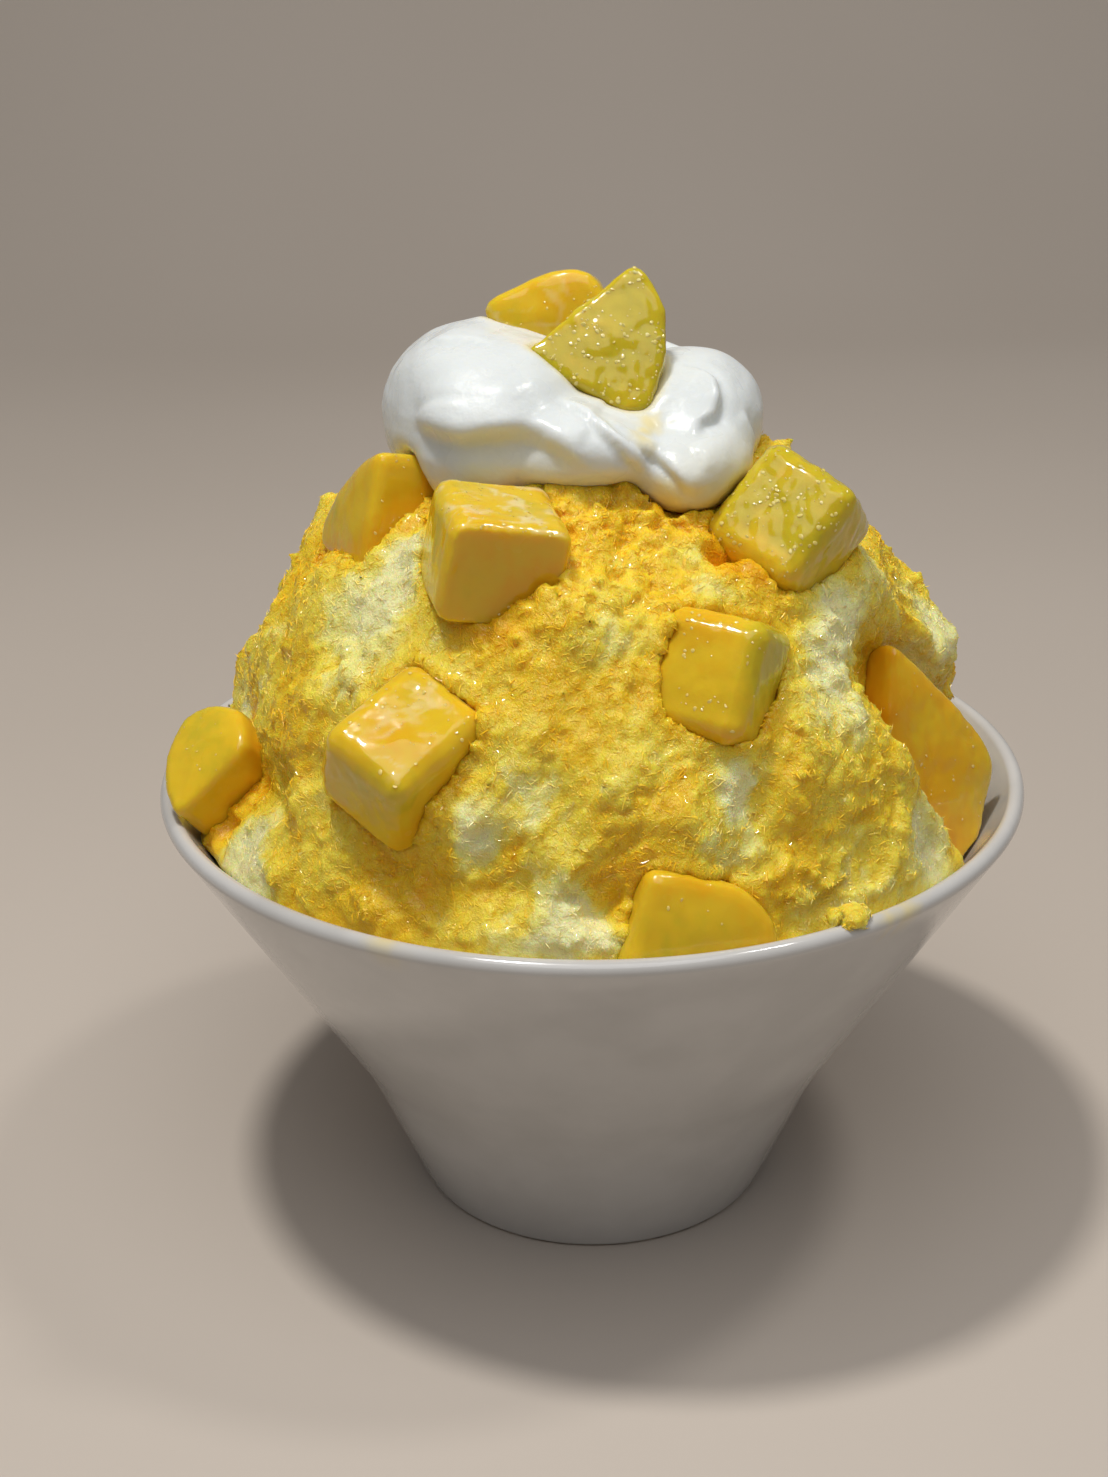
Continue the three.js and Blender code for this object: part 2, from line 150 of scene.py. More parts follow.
def show(name, mesh, smooth=True):
    mesh.name = name
    piece = bpy.data.objects.new(name, mesh)
    bpy.context.scene.collection.objects.link(piece)
    mesh.polygons.foreach_set("use_smooth", np.full(len(mesh.polygons), smooth))
    return piece


def settle(piece):
    """Applies the piece's modifiers to its mesh."""
    bpy.context.view_layer.update()
    graph = bpy.context.evaluated_depsgraph_get()
    made = bpy.data.meshes.new_from_object(piece.evaluated_get(graph))
    old = piece.data
    piece.modifiers.clear()
    piece.data = made
    bpy.data.meshes.remove(old)
    made.name = piece.name
    return piece


def even_mesh(piece, cell):
    """Wraps the piece in an even skin of small quads, which joins all that overlaps."""
    wrap = piece.modifiers.new("even mesh", "REMESH")
    wrap.mode = "VOXEL"
    wrap.voxel_size = cell
    wrap.use_smooth_shade = True
    return settle(piece)


def skin_of(node, name, cell):
    """A copy of a solid of the frame with an even skin."""
    piece = show(name, nodes[node].data.copy())
    piece.data.materials.clear()
    return even_mesh(piece, cell)


def soften(piece, rounds, share=0.5):
    """Evens out the points, which rounds off edges."""
    mesh = piece.data
    points = points_of(mesh)
    a, b = edges_of(mesh)
    count = np.bincount(np.concatenate([a, b]), minlength=len(points))[:, None]
    for _ in range(rounds):
        total = np.stack(
            [np.bincount(a, points[b, k], len(points)) + np.bincount(b, points[a, k], len(points))
             for k in range(3)], axis=1)
        points += share * (total / count - points)
    move_points(mesh, points)
    return piece


# %% [markdown]
# ## Noise
#
# Nothing on food is even, so every surface here is bent by noise. Perlin noise puts a random
# slope at each corner of a grid of cubes and blends between them. The size of the cubes is the
# size of the lumps. Layers of it, each half as large and half as strong, make a natural relief.
# A fixed seed makes the same dessert each time.

# %% Noise
shuffle = np.random.default_rng(11).permutation(256)
SLOPES = np.array([(x, y, z) for x in (-1, 0, 1) for y in (-1, 0, 1) for z in (-1, 0, 1)
                   if abs(x) + abs(y) + abs(z) == 2], float)


def lumps(points, size, seed=0):
    """Noise from about -1 to 1 whose lumps are so large."""
    place = np.asarray(points, float) / size + 17.31 * seed + 40.7
    cell = np.floor(place).astype(int)
    part = place - cell
    ease = part**3 * (part * (part * 6 - 15) + 10)
    total = np.zeros(len(place))
    for corner in np.ndindex(2, 2, 2):
        step = np.array(corner)
        x, y, z = ((cell + step) & 255).T
        slope = SLOPES[shuffle[(shuffle[(shuffle[x] + y) & 255] + z) & 255] % len(SLOPES)]
        weight = np.prod(np.where(step == 1, ease, 1 - ease), axis=1)
        total += weight * np.sum(slope * (part - step), axis=1)
    return 1.5 * total


def layers(points, size, count=3, seed=0):
    return sum(lumps(points, size / 2**k, seed + k) / 2**k for k in range(count))


def drift(points, by, size, seeds):
    """A random shift of each point by up to so many mm, with a seed for each of the three ways."""
    return by * MM * np.stack([lumps(points, size * MM, seed) for seed in seeds], axis=1)


def ramp(value, low, high):
    """0 below low, 1 above high, eased between them."""
    share = np.clip((np.asarray(value) - low) / (high - low), 0, 1)
    return share * share * (3 - 2 * share)


# %% [markdown]
# ## The bowl
#
# The bowl is glazed white ceramic: a short steep foot under a wide straight wall with a rounded
# lip. It was thrown on a wheel, so a lathe fits: one outline turned round the axis. The frame has
# the same bowl with few sides. Here the outline gets more points at its soft corners and is
# turned in many more steps, so that the lip is a clean curve. The clay is never quite true, which
# a tiny wobble shows in the reflections.

# %% Bowl sizes
RIM_RADIUS = 90 * MM
BOWL_HEIGHT = 96.6 * MM
LIP_THICKNESS = 3.6 * MM
KINK = np.array([51.2, 31]) * MM
KINK_SOFTNESS = 7 * MM
FOOT_RADIUS = 38.2 * MM
WALL_AT_KINK = 4.4 * MM
FLOOR_HEIGHT = 9 * MM
FLOOR_FILLET = 9 * MM
FOOT_RING_WIDTH = 5 * MM
FOOT_RECESS = 2.4 * MM
FOOT_EDGE = 1.6 * MM
BOWL_STEPS = 360
WOBBLE = 0.10 * MM
WOBBLE_LUMPS = 45 * MM
LIP_STAIN_STRENGTH = 0.5
LIP_STAINS = [  # where juice has run onto the lip, and how far it spread, in mm
    ((56.8, -69.7, 96), 2.4), ((53.0, -72.6, 96), 1.6), ((-38.0, -79.5, 96), 2.6)]


def unit(v):
    return np.asarray(v, float) / np.linalg.norm(v)


def outward(slope):
    return np.array([slope[1], -slope[0]])


lip_radius = LIP_THICKNESS / 2
lip_centre = np.array([RIM_RADIUS - lip_radius, BOWL_HEIGHT - lip_radius])
wall_slope = unit([RIM_RADIUS - KINK[0], lip_centre[1] - KINK[1]])
foot_slope = unit(KINK - [FOOT_RADIUS, 0])
inner_kink = KINK - WALL_AT_KINK * unit(outward(wall_slope) + outward(foot_slope))
inner_lip = lip_centre - lip_radius * outward(wall_slope)


def inner_radius(height):
    """Radius of the bowl's inside at a height."""
    below = inner_kink[0] - (inner_kink[1] - height) * foot_slope[0] / foot_slope[1]
    share = (height - inner_kink[1]) / (inner_lip[1] - inner_kink[1])
    return np.where(height < inner_kink[1], below,
                    inner_kink[0] + share * (inner_lip[0] - inner_kink[0]))


# %% Bowl outline
def soft_corner(corner, before, after, reach, count):
    start, end = corner - reach * before, corner + reach * after
    t = np.linspace(0, 1, count)[:, None]
    return (1 - t) ** 2 * start + 2 * t * (1 - t) * corner + t**2 * end


def straight(start, end, count):
    return start + np.linspace(0, 1, count + 2)[1:-1, None] * (end - start)


def bowl_outline():
    out, inwards = np.array([1.0, 0]), np.array([-1.0, 0])
    ring_inside = FOOT_RADIUS - FOOT_RING_WIDTH
    lip_turn = math.atan2(*outward(wall_slope)[::-1]) + np.linspace(0, math.pi, 15)
    lip = lip_centre + lip_radius * np.stack([np.cos(lip_turn), np.sin(lip_turn)], axis=1)
    foot = soft_corner(np.array([FOOT_RADIUS, 0]), out, foot_slope, FOOT_EDGE, 6)
    kink = soft_corner(KINK, foot_slope, wall_slope, KINK_SOFTNESS, 9)
    inner = soft_corner(inner_kink, -wall_slope, -foot_slope, KINK_SOFTNESS, 9)
    inner_floor = np.array([float(inner_radius(FLOOR_HEIGHT)), FLOOR_HEIGHT])
    fillet = soft_corner(inner_floor, -foot_slope, inwards, FLOOR_FILLET, 8)
    return np.concatenate([
        [[0, FOOT_RECESS], [ring_inside - FOOT_EDGE, FOOT_RECESS], [ring_inside, 0]],
        foot, straight(foot[-1], kink[0], 4), kink, straight(kink[-1], lip[0], 12), lip,
        straight(lip[-1], inner[0], 10), inner, fillet, [[0, FLOOR_HEIGHT]]])


# %% Turn the bowl
def turned_mesh(outline, steps):
    """Turns an outline that starts and ends on the axis."""
    rings = outline[1:-1]
    angle = np.arange(steps) * 2 * math.pi / steps
    points = np.stack([rings[:, :1] * np.cos(angle), rings[:, :1] * np.sin(angle),
                       np.repeat(rings[:, 1:], steps, axis=1)], axis=2).reshape(-1, 3)
    first, last = len(points), len(points) + 1
    points = np.vstack([points, [0, 0, outline[0, 1]], [0, 0, outline[-1, 1]]])
    side = np.arange(steps)
    after = (side + 1) % steps
    faces = []
    for ring in range(len(rings) - 1):
        a, b = ring * steps + side, ring * steps + after
        faces.append(np.stack([a, b, b + steps], axis=1))
        faces.append(np.stack([a, b + steps, a + steps], axis=1))
    top = (len(rings) - 1) * steps
    faces.append(np.stack([np.full(steps, first), after, side], axis=1))
    faces.append(np.stack([np.full(steps, last), top + side, top + after], axis=1))
    return mesh_from(points, np.concatenate(faces))


bowl_mesh = turned_mesh(bowl_outline(), BOWL_STEPS)
bowl_points = points_of(bowl_mesh)
rise = ramp(bowl_points[:, 2], FLOOR_HEIGHT, BOWL_HEIGHT)[:, None]
round_way = bowl_points * [1, 1, 0]
round_way /= length(round_way)[:, None] + 1e-9
wobble = WOBBLE * (lumps(bowl_points, WOBBLE_LUMPS, 3) - 0.7)[:, None]
move_points(bowl_mesh, bowl_points + rise * wobble * round_way)


def stains(points, spots):
    """How stained each point is, from 0 to 1, by spots of a place and a reach in mm."""
    ragged = 1 + 0.4 * lumps(points, 1.8 * MM, 6)
    share = np.zeros(len(points))
    for place, reach in spots:
        far = length(points - np.array(place) * MM) / (reach * MM)
        share = np.maximum(share, np.exp(-(far * ragged) ** 2))
    return share


mark(bowl_mesh, "juice", LIP_STAIN_STRENGTH * stains(bowl_points, LIP_STAINS))
bowl = show("glazed_bowl", bowl_mesh)
print("bowl:", len(bowl_mesh.polygons), "faces")

# %% [markdown]
# ## What the ice lies against
#
# Ice flakes belong on the open face of the heap and not in the pockets behind the fruit. A BVH
# tree answers quickly whether a line from a point soon meets something, so it is built once from
# the bowl, the fruit and the cream of the frame.

# %% Neighbours of the ice
fruit_names = sorted(name for name in nodes if name.startswith("mango_"))


def tree_of(names):
    points, corners, start = [], [], 0
    for name in names:
        mesh = nodes[name].data
        points.append(points_of(mesh))
        corners.append(triangles_of(mesh) + start)
        start += len(mesh.vertices)
    return BVHTree.FromPolygons(np.concatenate(points).tolist(), np.concatenate(corners).tolist())


neighbours = tree_of([*fruit_names, "whipped_cream", "bowl"])
toppings = tree_of([*fruit_names, "whipped_cream"])
FREE_REACH = 7 * MM


def stands_free(point, normal):
    return neighbours.ray_cast(Vector(point), Vector(normal), FREE_REACH)[0] is None


# %% Scatter points over a mesh
def scatter(mesh, count, random, wanted):
    """Random points on a mesh, with their normals, where wanted(points, normals) is true."""
    points, corners = points_of(mesh), triangles_of(mesh)
    a, b, c = points[corners[:, 0]], points[corners[:, 1]], points[corners[:, 2]]
    cross = np.cross(b - a, c - a)
    area = length(cross)
    chosen = random.choice(len(corners), count, p=area / area.sum())
    u, v = random.random((2, count, 1))
    flip = u + v > 1
    u, v = np.where(flip, 1 - u, u), np.where(flip, 1 - v, v)
    places = a[chosen] + u * (b - a)[chosen] + v * (c - a)[chosen]
    normals = cross[chosen] / (area[chosen, None] + 1e-12)
    good = wanted(places, normals)
    return places[good], normals[good]


def turned_frames(normals, random, tilt):
    """For each normal, three axes: two along the surface at a random turn and one out of it,
    tipped by up to so many degrees."""
    count = len(normals)
    out = normals + math.tan(math.radians(tilt)) * random.uniform(-1, 1, (count, 3))
    out /= length(out)[:, None]
    along = np.cross(out, random.normal(size=(count, 3)))
    along /= length(along)[:, None]
    return np.stack([along, np.cross(out, along), out], axis=1)


def copies(shape, faces, places, frames, sizes):
    """One mesh of many small things: a shape's points, stretched, turned and placed."""
    local = shape[None] * sizes[:, None, :]
    points = np.einsum("nki,nij->nkj", local, frames) + places[:, None, :]
    start = np.arange(len(places))[:, None, None] * len(shape)
    return points.reshape(-1, 3), (faces[None] + start).reshape(-1, 3)


# %% [markdown]
# ## The heap of shaved ice
#
# The shaver drops thin shavings that clump and stick where syrup wets them. The heap could be one
# displaced ball, but displacement alone gives soft bumps with no edges. So thousands of small
# thick flakes are laid on the frame's heap first, and then a voxel remesh melts the heap and its
# flakes into one skin. That leaves crisp little ledges, holes and overhangs, as in real ice.
# Crumbs that hang loose in the air after the melt are dropped. The part deep in the bowl never
# shows, so it is cut off and its last stretch gets few faces.

# %% Cut the hidden foot off the heap
ICE_BOTTOM = 68 * MM
OCTAHEDRON = np.array(
    [(1, 0, 0), (0, 1, 0), (-1, 0, 0), (0, -1, 0), (0, 0, 1), (0, 0, -1)], float)
OCTA_FACES = np.array([(0, 1, 4), (1, 2, 4), (2, 3, 4), (3, 0, 4),
                       (1, 0, 5), (2, 1, 5), (3, 2, 5), (0, 3, 5)])

work = bmesh.new()
work.from_mesh(nodes["shaved_ice"].data)
bmesh.ops.remove_doubles(work, verts=work.verts, dist=1e-6)
cut = bmesh.ops.bisect_plane(
    work, geom=[*work.verts, *work.edges, *work.faces], plane_co=(0, 0, ICE_BOTTOM),
    plane_no=(0, 0, 1), clear_inner=True)
edges = [e for e in cut["geom_cut"] if isinstance(e, bmesh.types.BMEdge)]
bmesh.ops.triangle_fill(work, edges=edges, use_beauty=True)
bmesh.ops.recalc_face_normals(work, faces=work.faces)
heap_mesh = bpy.data.meshes.new("ice_heap")
work.to_mesh(heap_mesh)
work.free()
print("heap above the cut:", len(heap_mesh.polygons), "faces")

# %% Lay flakes on the heap
FLAKE_COUNT = 17000
FLAKES_FROM = 93 * MM
FLAKE_LENGTH = (0.8, 2.8)  # shortest and longest, in mm
FLAKE_WIDTH = (0.35, 0.7)  # shares of the length
FLAKE_THICKNESS = (0.42, 0.75)  # in mm
FLAKE_LIFT = (-0.4, 1.0)  # in mm
FLAKE_TILT = 45
OFF_SKIN = 0.05  # how far out of the surface a line of sight starts, in mm
SPILL = (45.8, -73.6, 97.2)  # where some ice has slipped onto the lip, in mm
SPILL_REACH = (4.2, 2.6, 0.5)
SPILL_COUNT = 50
SPILL_SIZE = 0.6  # of a flake on the heap


def open_face(places, normals):
    high = places[:, 2] > FLAKES_FROM
    free = np.zeros(len(places), bool)
    for i in np.flatnonzero(high):
        free[i] = stands_free(places[i] + normals[i] * OFF_SKIN * MM, normals[i])
    return free


random = np.random.default_rng(21)
places, normals = scatter(heap_mesh, FLAKE_COUNT, random, open_face)
spread = random.normal(0, 0.5, (SPILL_COUNT, 3))
spilled = np.array(SPILL) * MM + spread * np.array(SPILL_REACH) * MM
places = np.vstack([places, spilled])
normals = np.vstack([normals, np.tile([0, 0, 1.0], (len(spilled), 1))])
long = random.uniform(*FLAKE_LENGTH, (len(places), 1)) * MM
long[-SPILL_COUNT:] *= SPILL_SIZE
flake_sizes = np.hstack([long, long * random.uniform(*FLAKE_WIDTH, long.shape),
                         random.uniform(*FLAKE_THICKNESS, long.shape) * MM])
patchy = ramp(layers(places, 15 * MM, 2, 5), -0.3, 0.6)[:, None]
lifted = places + normals * (random.uniform(*FLAKE_LIFT, long.shape) * patchy - 0.1) * MM
flake_points, flake_faces = copies(
    OCTAHEDRON, OCTA_FACES, lifted, turned_frames(normals, random, FLAKE_TILT), flake_sizes)
print("flakes on the heap:", len(places))

# %% Melt heap and flakes into one skin
ICE_CELL = 0.84 * MM
heap_points, heap_faces = points_of(heap_mesh), triangles_of(heap_mesh)
ice = show("ice_core", mesh_from(
    np.vstack([heap_points, flake_points]),
    np.vstack([heap_faces, flake_faces + len(heap_points)])))
bpy.data.meshes.remove(heap_mesh)
even_mesh(ice, ICE_CELL)
print("ice skin:", len(ice.data.polygons), "quads")

# %% Drop the crumbs that hang loose
FEWEST_POINTS = 60


def drop_crumbs(piece, fewest):
    """Keeps the islands of a mesh of quads that have at least so many points."""
    a, b = edges_of(piece.data)
    island, before = np.arange(len(piece.data.vertices)), None
    while before is None or (island != before).any():
        before = island.copy()
        lowest = np.minimum(island[a], island[b])
        np.minimum.at(island, a, lowest)
        np.minimum.at(island, b, lowest)
        island = island[island]
    stays = np.bincount(island, minlength=len(island))[island] >= fewest
    corners = read(piece.data.loops, "vertex_index", 1).reshape(-1, 4)
    corners = (np.cumsum(stays) - 1)[corners[stays[corners[:, 0]]]]
    old = piece.data
    piece.data = mesh_from(points_of(old)[stays], corners)
    piece.data.polygons.foreach_set("use_smooth", np.full(len(corners), True))
    bpy.data.meshes.remove(old)
    return int(len(stays) - stays.sum())


print("dropped", drop_crumbs(ice, FEWEST_POINTS), "points of loose crumbs")

# %% [markdown]
# The skin now gets its finer relief: small grains all over, feathery ridges that all run one way,
# a crumbly top full of pits, and a few deep holes where the ice has slumped and the syrup shows
# dark. Holes are listed by their compass angle round the bowl, their height, how wide and how
# deep they are. Beside the fruit and the cream the ice swells a little, because wet ice clings
# to what is pressed into it and leaves no gap.

# %% Grain and holes
HOLES = [  # azimuth in degrees, height, radius and depth in mm
    (-57, 154.5, 2.6, 6.5), (-66, 161.5, 2.2, 4.5), (-90, 101.5, 4.0, 3.4), (-85, 104.5, 3.0, 2.8),
    (-158, 97.0, 3.2, 4.5), (-97, 158.5, 1.6, 2.6), (-83, 158.0, 1.5, 2.4), (-30, 150.0, 2.4, 3.8),
    (25, 140.0, 3.0, 4.2), (88, 150.5, 2.6, 4.5), (150, 120.0, 3.0, 4.4), (70, 112.0, 3.2, 3.6)]
HEAP_FORM = np.array([(82, 90), (79.6, 99), (76.2, 110), (71.4, 122), (64.6, 134), (55, 146.5),
                      (43.5, 156.5), (32, 163.5), (17, 168), (0, 169)]) * MM


def heap_point(azimuth, height):
    """The point of the even heap at a compass angle in degrees and a height in mm."""
    radius = np.interp(height * MM, HEAP_FORM[:, 1], HEAP_FORM[:, 0])
    turn = math.radians(azimuth)
    return np.array([radius * math.cos(turn), radius * math.sin(turn), height * MM])


def distances(points, tree, reach, asked=None):
    """How far each point is from a tree's surface, at most reach, where asked for."""
    far = np.full(len(points), reach)
    for i in np.flatnonzero(np.ones(len(points), bool) if asked is None else asked):
        found = tree.find_nearest(Vector(points[i]), reach)[3]
        if found is not None:
            far[i] = found
    return far


CLING_REACH = 1.9 * MM
CLING = 1.15  # how far the ice swells beside the fruit, in mm, like the next four
GRAIN = 0.18
RIDGES = 0.9
SWELL = 1.1
CRUMB = 1.5
CRUMBLY = ((3.0, -40.0, 159.0), 22.0, 0.1)  # middle and reach of the crumbly top, share elsewhere
SLANT = unit([0.45, 0, 0.9])  # the way that the feathery ridges run


def stretched(points, way, times):
    """Squeezes places along a way, so that noise read from them is drawn out along it."""
    return points - (1 - 1 / times) * (points @ way)[:, None] * way


points, normals = points_of(ice.data), normals_of(ice.data)
free = ramp(points[:, 2], 84 * MM, 92 * MM)
to_topping = distances(points, toppings, 3 * CLING_REACH, points[:, 2] > 80 * MM)
cling = CLING * np.exp(-(to_topping / CLING_REACH) ** 2)
feathered = stretched(points, SLANT, 2.6)
grain = GRAIN * lumps(feathered, 1.9 * MM, 1) + GRAIN * lumps(feathered, 1.3 * MM, 2)
ridges = RIDGES * (0.45 - np.abs(lumps(stretched(points, SLANT, 1.8), 6 * MM, 9)))
swell = SWELL * lumps(points * [1, 1, 0.6], 13 * MM, 7)
middle, reach, elsewhere = CRUMBLY
crumbly = np.exp(-(length(points - np.array(middle) * MM) / (reach * MM)) ** 4)
pits = ramp(lumps(points, 3.1 * MM, 15) + 0.4 * lumps(points, 1.7 * MM, 16), 0.05, 0.75)
crumb = CRUMB * pits * np.maximum(crumbly, elsewhere)
moved = points + normals * ((free * (grain + ridges + swell - crumb) + cling) * MM)[:, None]
for azimuth, height, radius, depth in HOLES:
    centre = heap_point(azimuth, height)
    rough = 1 + 0.35 * lumps(points, 3 * MM, 8)
    near = np.exp(-(length(points - centre) / (radius * MM * rough)) ** 2 * 1.2)
    moved -= unit(centre * [1, 1, 0.6]) * (near * depth * MM)[:, None]
move_points(ice.data, moved)

# %% Fewer faces where the bowl hides the ice
HIDDEN_BELOW = 82 * MM
HIDDEN_CUT = 0.93  # share of the hidden points that go
MOST_TRIANGLES = 192000

hidden = ice.vertex_groups.new(name="hidden")
low = np.flatnonzero(points_of(ice.data)[:, 2] < HIDDEN_BELOW)
hidden.add(low.tolist(), 1.0, "REPLACE")
thin = ice.modifiers.new("thin out", "DECIMATE")
thin.vertex_group = "hidden"
thin.ratio = 1 - HIDDEN_CUT * len(low) / len(ice.data.vertices)
settle(ice)
trim = ice.modifiers.new("trim where it is flat", "DECIMATE")
trim.ratio = min(1, MOST_TRIANGLES / len(triangles_of(ice.data)))
settle(ice)
print("ice core:", len(triangles_of(ice.data)), "triangles")

# %% [markdown]
# ## Where the syrup went
#
# Syrup poured over the heap soaks in unevenly. Most of it is golden, some spots stay white where
# it never came, and it is amber where it pooled. One function says how wet with syrup the ice is at
# any point, from 0 for dry to 1 for amber. The heap and every loose crystal read it, so their
# colours agree. The spots in front are placed one by one, and those at the back are drawn at
# random.

# %% Dry and pooled spots
SPOTS = [  # azimuth, height, half width and half height in mm, how much drier (-) or wetter (+)
    (-107, 114, 3.5, 6, -0.65), (-96, 105, 5, 6, -0.3), (-70, 120, 4, 7, -0.9),
    (-94, 97, 10, 4.5, -1.0), (-148, 92, 10, 6, -1.0), (-37, 97, 6, 10, -0.6),
    (-48, 135, 6, 9, -0.6), (-38, 142, 6, 6, -0.6), (-135, 142, 9, 9, -0.42),
    (-133, 153, 4, 6, -0.6), (-5, 128, 7, 10, -0.6), (-65, 154, 5, 4, -0.35),
    (-101, 121, 3, 4, -0.35), (-87, 145, 6, 3, -0.25), (-56, 96, 9, 6, -0.2),
    (-90, 123, 12, 4, -0.15), (-25, 150, 5, 6, -0.5), (178, 108, 6, 6, -0.5),
    (-165, 120, 6, 9, -0.35), (-96, 137, 9, 12, 0.18), (-119, 102, 11, 8, 0.24),
    (-83, 115, 9, 7, 0.10), (-166, 140, 7, 9, 0.2), (-108, 148, 6, 6, 0.15),
    (-76, 162, 9, 5, 0.12), (-88, 104, 4, 6, 0.3), (-57, 154.5, 3.5, 4, 0.35),
    (-66, 161, 3.5, 4, 0.3), (-158, 97, 5, 6, 0.4), (-101, 110, 5, 4, 0.35),
    (-118.5, 112, 1.6, 5, -1.1)]
BACK_SPOTS = 22
random = np.random.default_rng(4)
for _ in range(BACK_SPOTS):
    SPOTS.append((random.uniform(8, 170), random.uniform(98, 160), random.uniform(5, 11),
                  random.uniform(4, 10), random.choice([-0.9, -0.6, 0.3])))
EVEN_SOAK = 0.57
JUICE_REACH = 2.6 * MM  # how far the fruit's juice tints the ice
JUICE_TINT = 0.2
fruit_tree = tree_of(fruit_names)


def soak_at(points):
    """How wet with syrup the ice is, from 0 to 1."""
    bent = points + drift(points, 3.2, 9, (31, 32, 33))
    bent += drift(points, 1.0, 2.6, (34, 35, 36))
    soak = EVEN_SOAK + 0.17 * lumps(bent * [1, 1, 0.7], 15 * MM, 12)
    soak += 0.11 * lumps(stretched(bent, SLANT, 1.7), 5 * MM, 13)
    soak += 0.09 * lumps(stretched(points, SLANT, 2.4), 2 * MM, 14)
    radius = np.hypot(bent[:, 0], bent[:, 1])
    bent_azimuth = np.arctan2(bent[:, 1], bent[:, 0])
    for at, height, wide, tall, change in SPOTS:
        off = np.angle(np.exp(1j * (bent_azimuth - math.radians(at))))
        far = (off * radius / (wide * MM)) ** 2 + ((bent[:, 2] - height * MM) / (tall * MM)) ** 2
        soak += change * np.exp(-far * 0.8)
    to_fruit = distances(points, fruit_tree, 2.4 * JUICE_REACH)
    soak += JUICE_TINT * np.exp(-(to_fruit / JUICE_REACH) ** 2)
    return np.clip(soak, 0, 1)


soak = soak_at(points_of(ice.data))
mark(ice.data, "soak", soak)
print("soak mean", round(float(soak.mean()), 2))

# %% [markdown]
# ## Loose crystals
#
# On top of the skin lie countless loose crystals: fine grains, coarse ones and thin shreds. They
# catch the light and give the heap its sparkle and its furry edge. Each kind is one joined mesh
# of flat three-sided pyramids, which need only four triangles each. They are flat shaded, because
# a crystal's faces are flat, and they lie nearly level with the surface, so that all of them
# share its light.

# %% Scatter the crystals
PYRAMID = np.array([(1, 0, -0.5), (-0.5, 0.87, -0.5), (-0.5, -0.87, -0.5), (0.1, 0.1, 0.8)])
PYRAMID_FACES = np.array([(0, 1, 3), (1, 2, 3), (2, 0, 3), (0, 2, 1)])
KINDS = {  # tries, shortest and longest in mm, width and thickness as shares, tilt, lift in mm
    "ice_grains_fine": (50000, 0.40, 0.80, 0.85, 0.40, 14, 0.04),
    "ice_grains_coarse": (20000, 0.8, 1.4, 0.75, 0.26, 14, 0.05),
    "ice_shreds": (46000, 1.3, 3.6, 0.16, 0.11, 9, 0.07)}
UNEVEN_SOAK = 0.07  # from crystal to crystal

crystal_pieces = []
for number, (name, kind) in enumerate(KINDS.items()):
    count, short, longest, wide, thick, tilt, lift = kind
    random = np.random.default_rng(50 + number)
    places, normals = scatter(ice.data, count, random, open_face)
    half = 0.5 * random.uniform(short, longest, (len(places), 1)) * MM
    sizes = np.hstack([half, half * wide, half * thick]) * random.uniform(0.8, 1.2, (len(half), 3))
    raised = places + normals * random.uniform(-0.4, 1, half.shape) * lift * MM
    points, faces = copies(PYRAMID, PYRAMID_FACES, raised,
                           turned_frames(normals, random, tilt), sizes)
    piece = show(name, mesh_from(points, faces), smooth=False)
    varied = soak_at(places) + random.normal(0, UNEVEN_SOAK, len(places))
    mark(piece.data, "soak", np.repeat(np.clip(varied, 0, 1), len(PYRAMID)))
    crystal_pieces.append(piece)
    print(name, len(places), "crystals,", len(faces), "triangles")

# %% [markdown]
# ## The fruit
#
# Ripe mango cut with a knife has flat, faintly wavy faces, edges that the knife and the syrup
# have softened, and fibres that run one way. Each piece is a copy of its solid with an even skin,
# softened a little and then bent by noise. Two numbers are kept at each point for the material:
# how ripe the flesh is there, from green-yellow to orange, and how much milky cream is smeared
# over it. Cream has a thickness, so it also lifts the surface.

# %% How each piece of fruit looks
FRUIT_CELL = 0.62 * MM
FOOT_REACH = 6 * MM
FRUIT_WAVES = 0.30  # depth in mm, like the next
SMEAR_DEPTH = 0.12
FOOT_RIPENS = 0.22  # where the flesh sits in syrup
# How ripe, from 0 for lemon to 1 for orange. The way in which the flesh turns green-yellow, and how
# much. The way that the smeared side faces, and how milky it is. The depth of the fibres in mm.
FRUIT_LOOKS = {
    "top_back": (0.48, (0, 0, 1, 0.0), (-1, -1, -0.4, 0.4), 0.04),
    "top_front": (0.26, (1, 0, 0.3, 0.1), (-1, 0, -0.6, 0.2), 0.14),
    "slab_upper_left": (0.52, (-1, 0, 0, 0.1), (0, 0, -1, 0.2), 0.04),
    "cube_upper_centre": (0.48, (-1, 0, 0, 0.1), (0, -0.2, 1, 0.42), 0.05),
    "cube_upper_right": (0.30, (1, 0, 0, 0.1), (-0.2, -1, 0.4, 0), 0.12),
    "cube_middle_right": (0.50, (1, -0.1, 0, 0.5), (-1, 0, -0.5, 0.1), 0.07),
    "cube_middle_left": (0.54, (0.3, -1, -0.1, 0.16), (-0.2, 0, 1, 0.26), 0.06),
    "chunk_rim_left": (0.46, (-1, 0, 0, 0.1), (0, 0, 1, 0), 0.05),
    "chunk_rim_front": (0.50, (-1, 0, 0, 0.1), (0, 0, 1, 0), 0.04),
    "slice_rim_right": (0.70, (1, 0, 0.3, 0.2), (0, 0, 1, 0), 0.08)}
PLAIN_LOOK = (0.5, (0, 1, 0, 0.2), (0, 0, 1, 0.4), 0.06)
ice_tree = BVHTree.FromPolygons(points_of(ice.data).tolist(), triangles_of(ice.data).tolist())


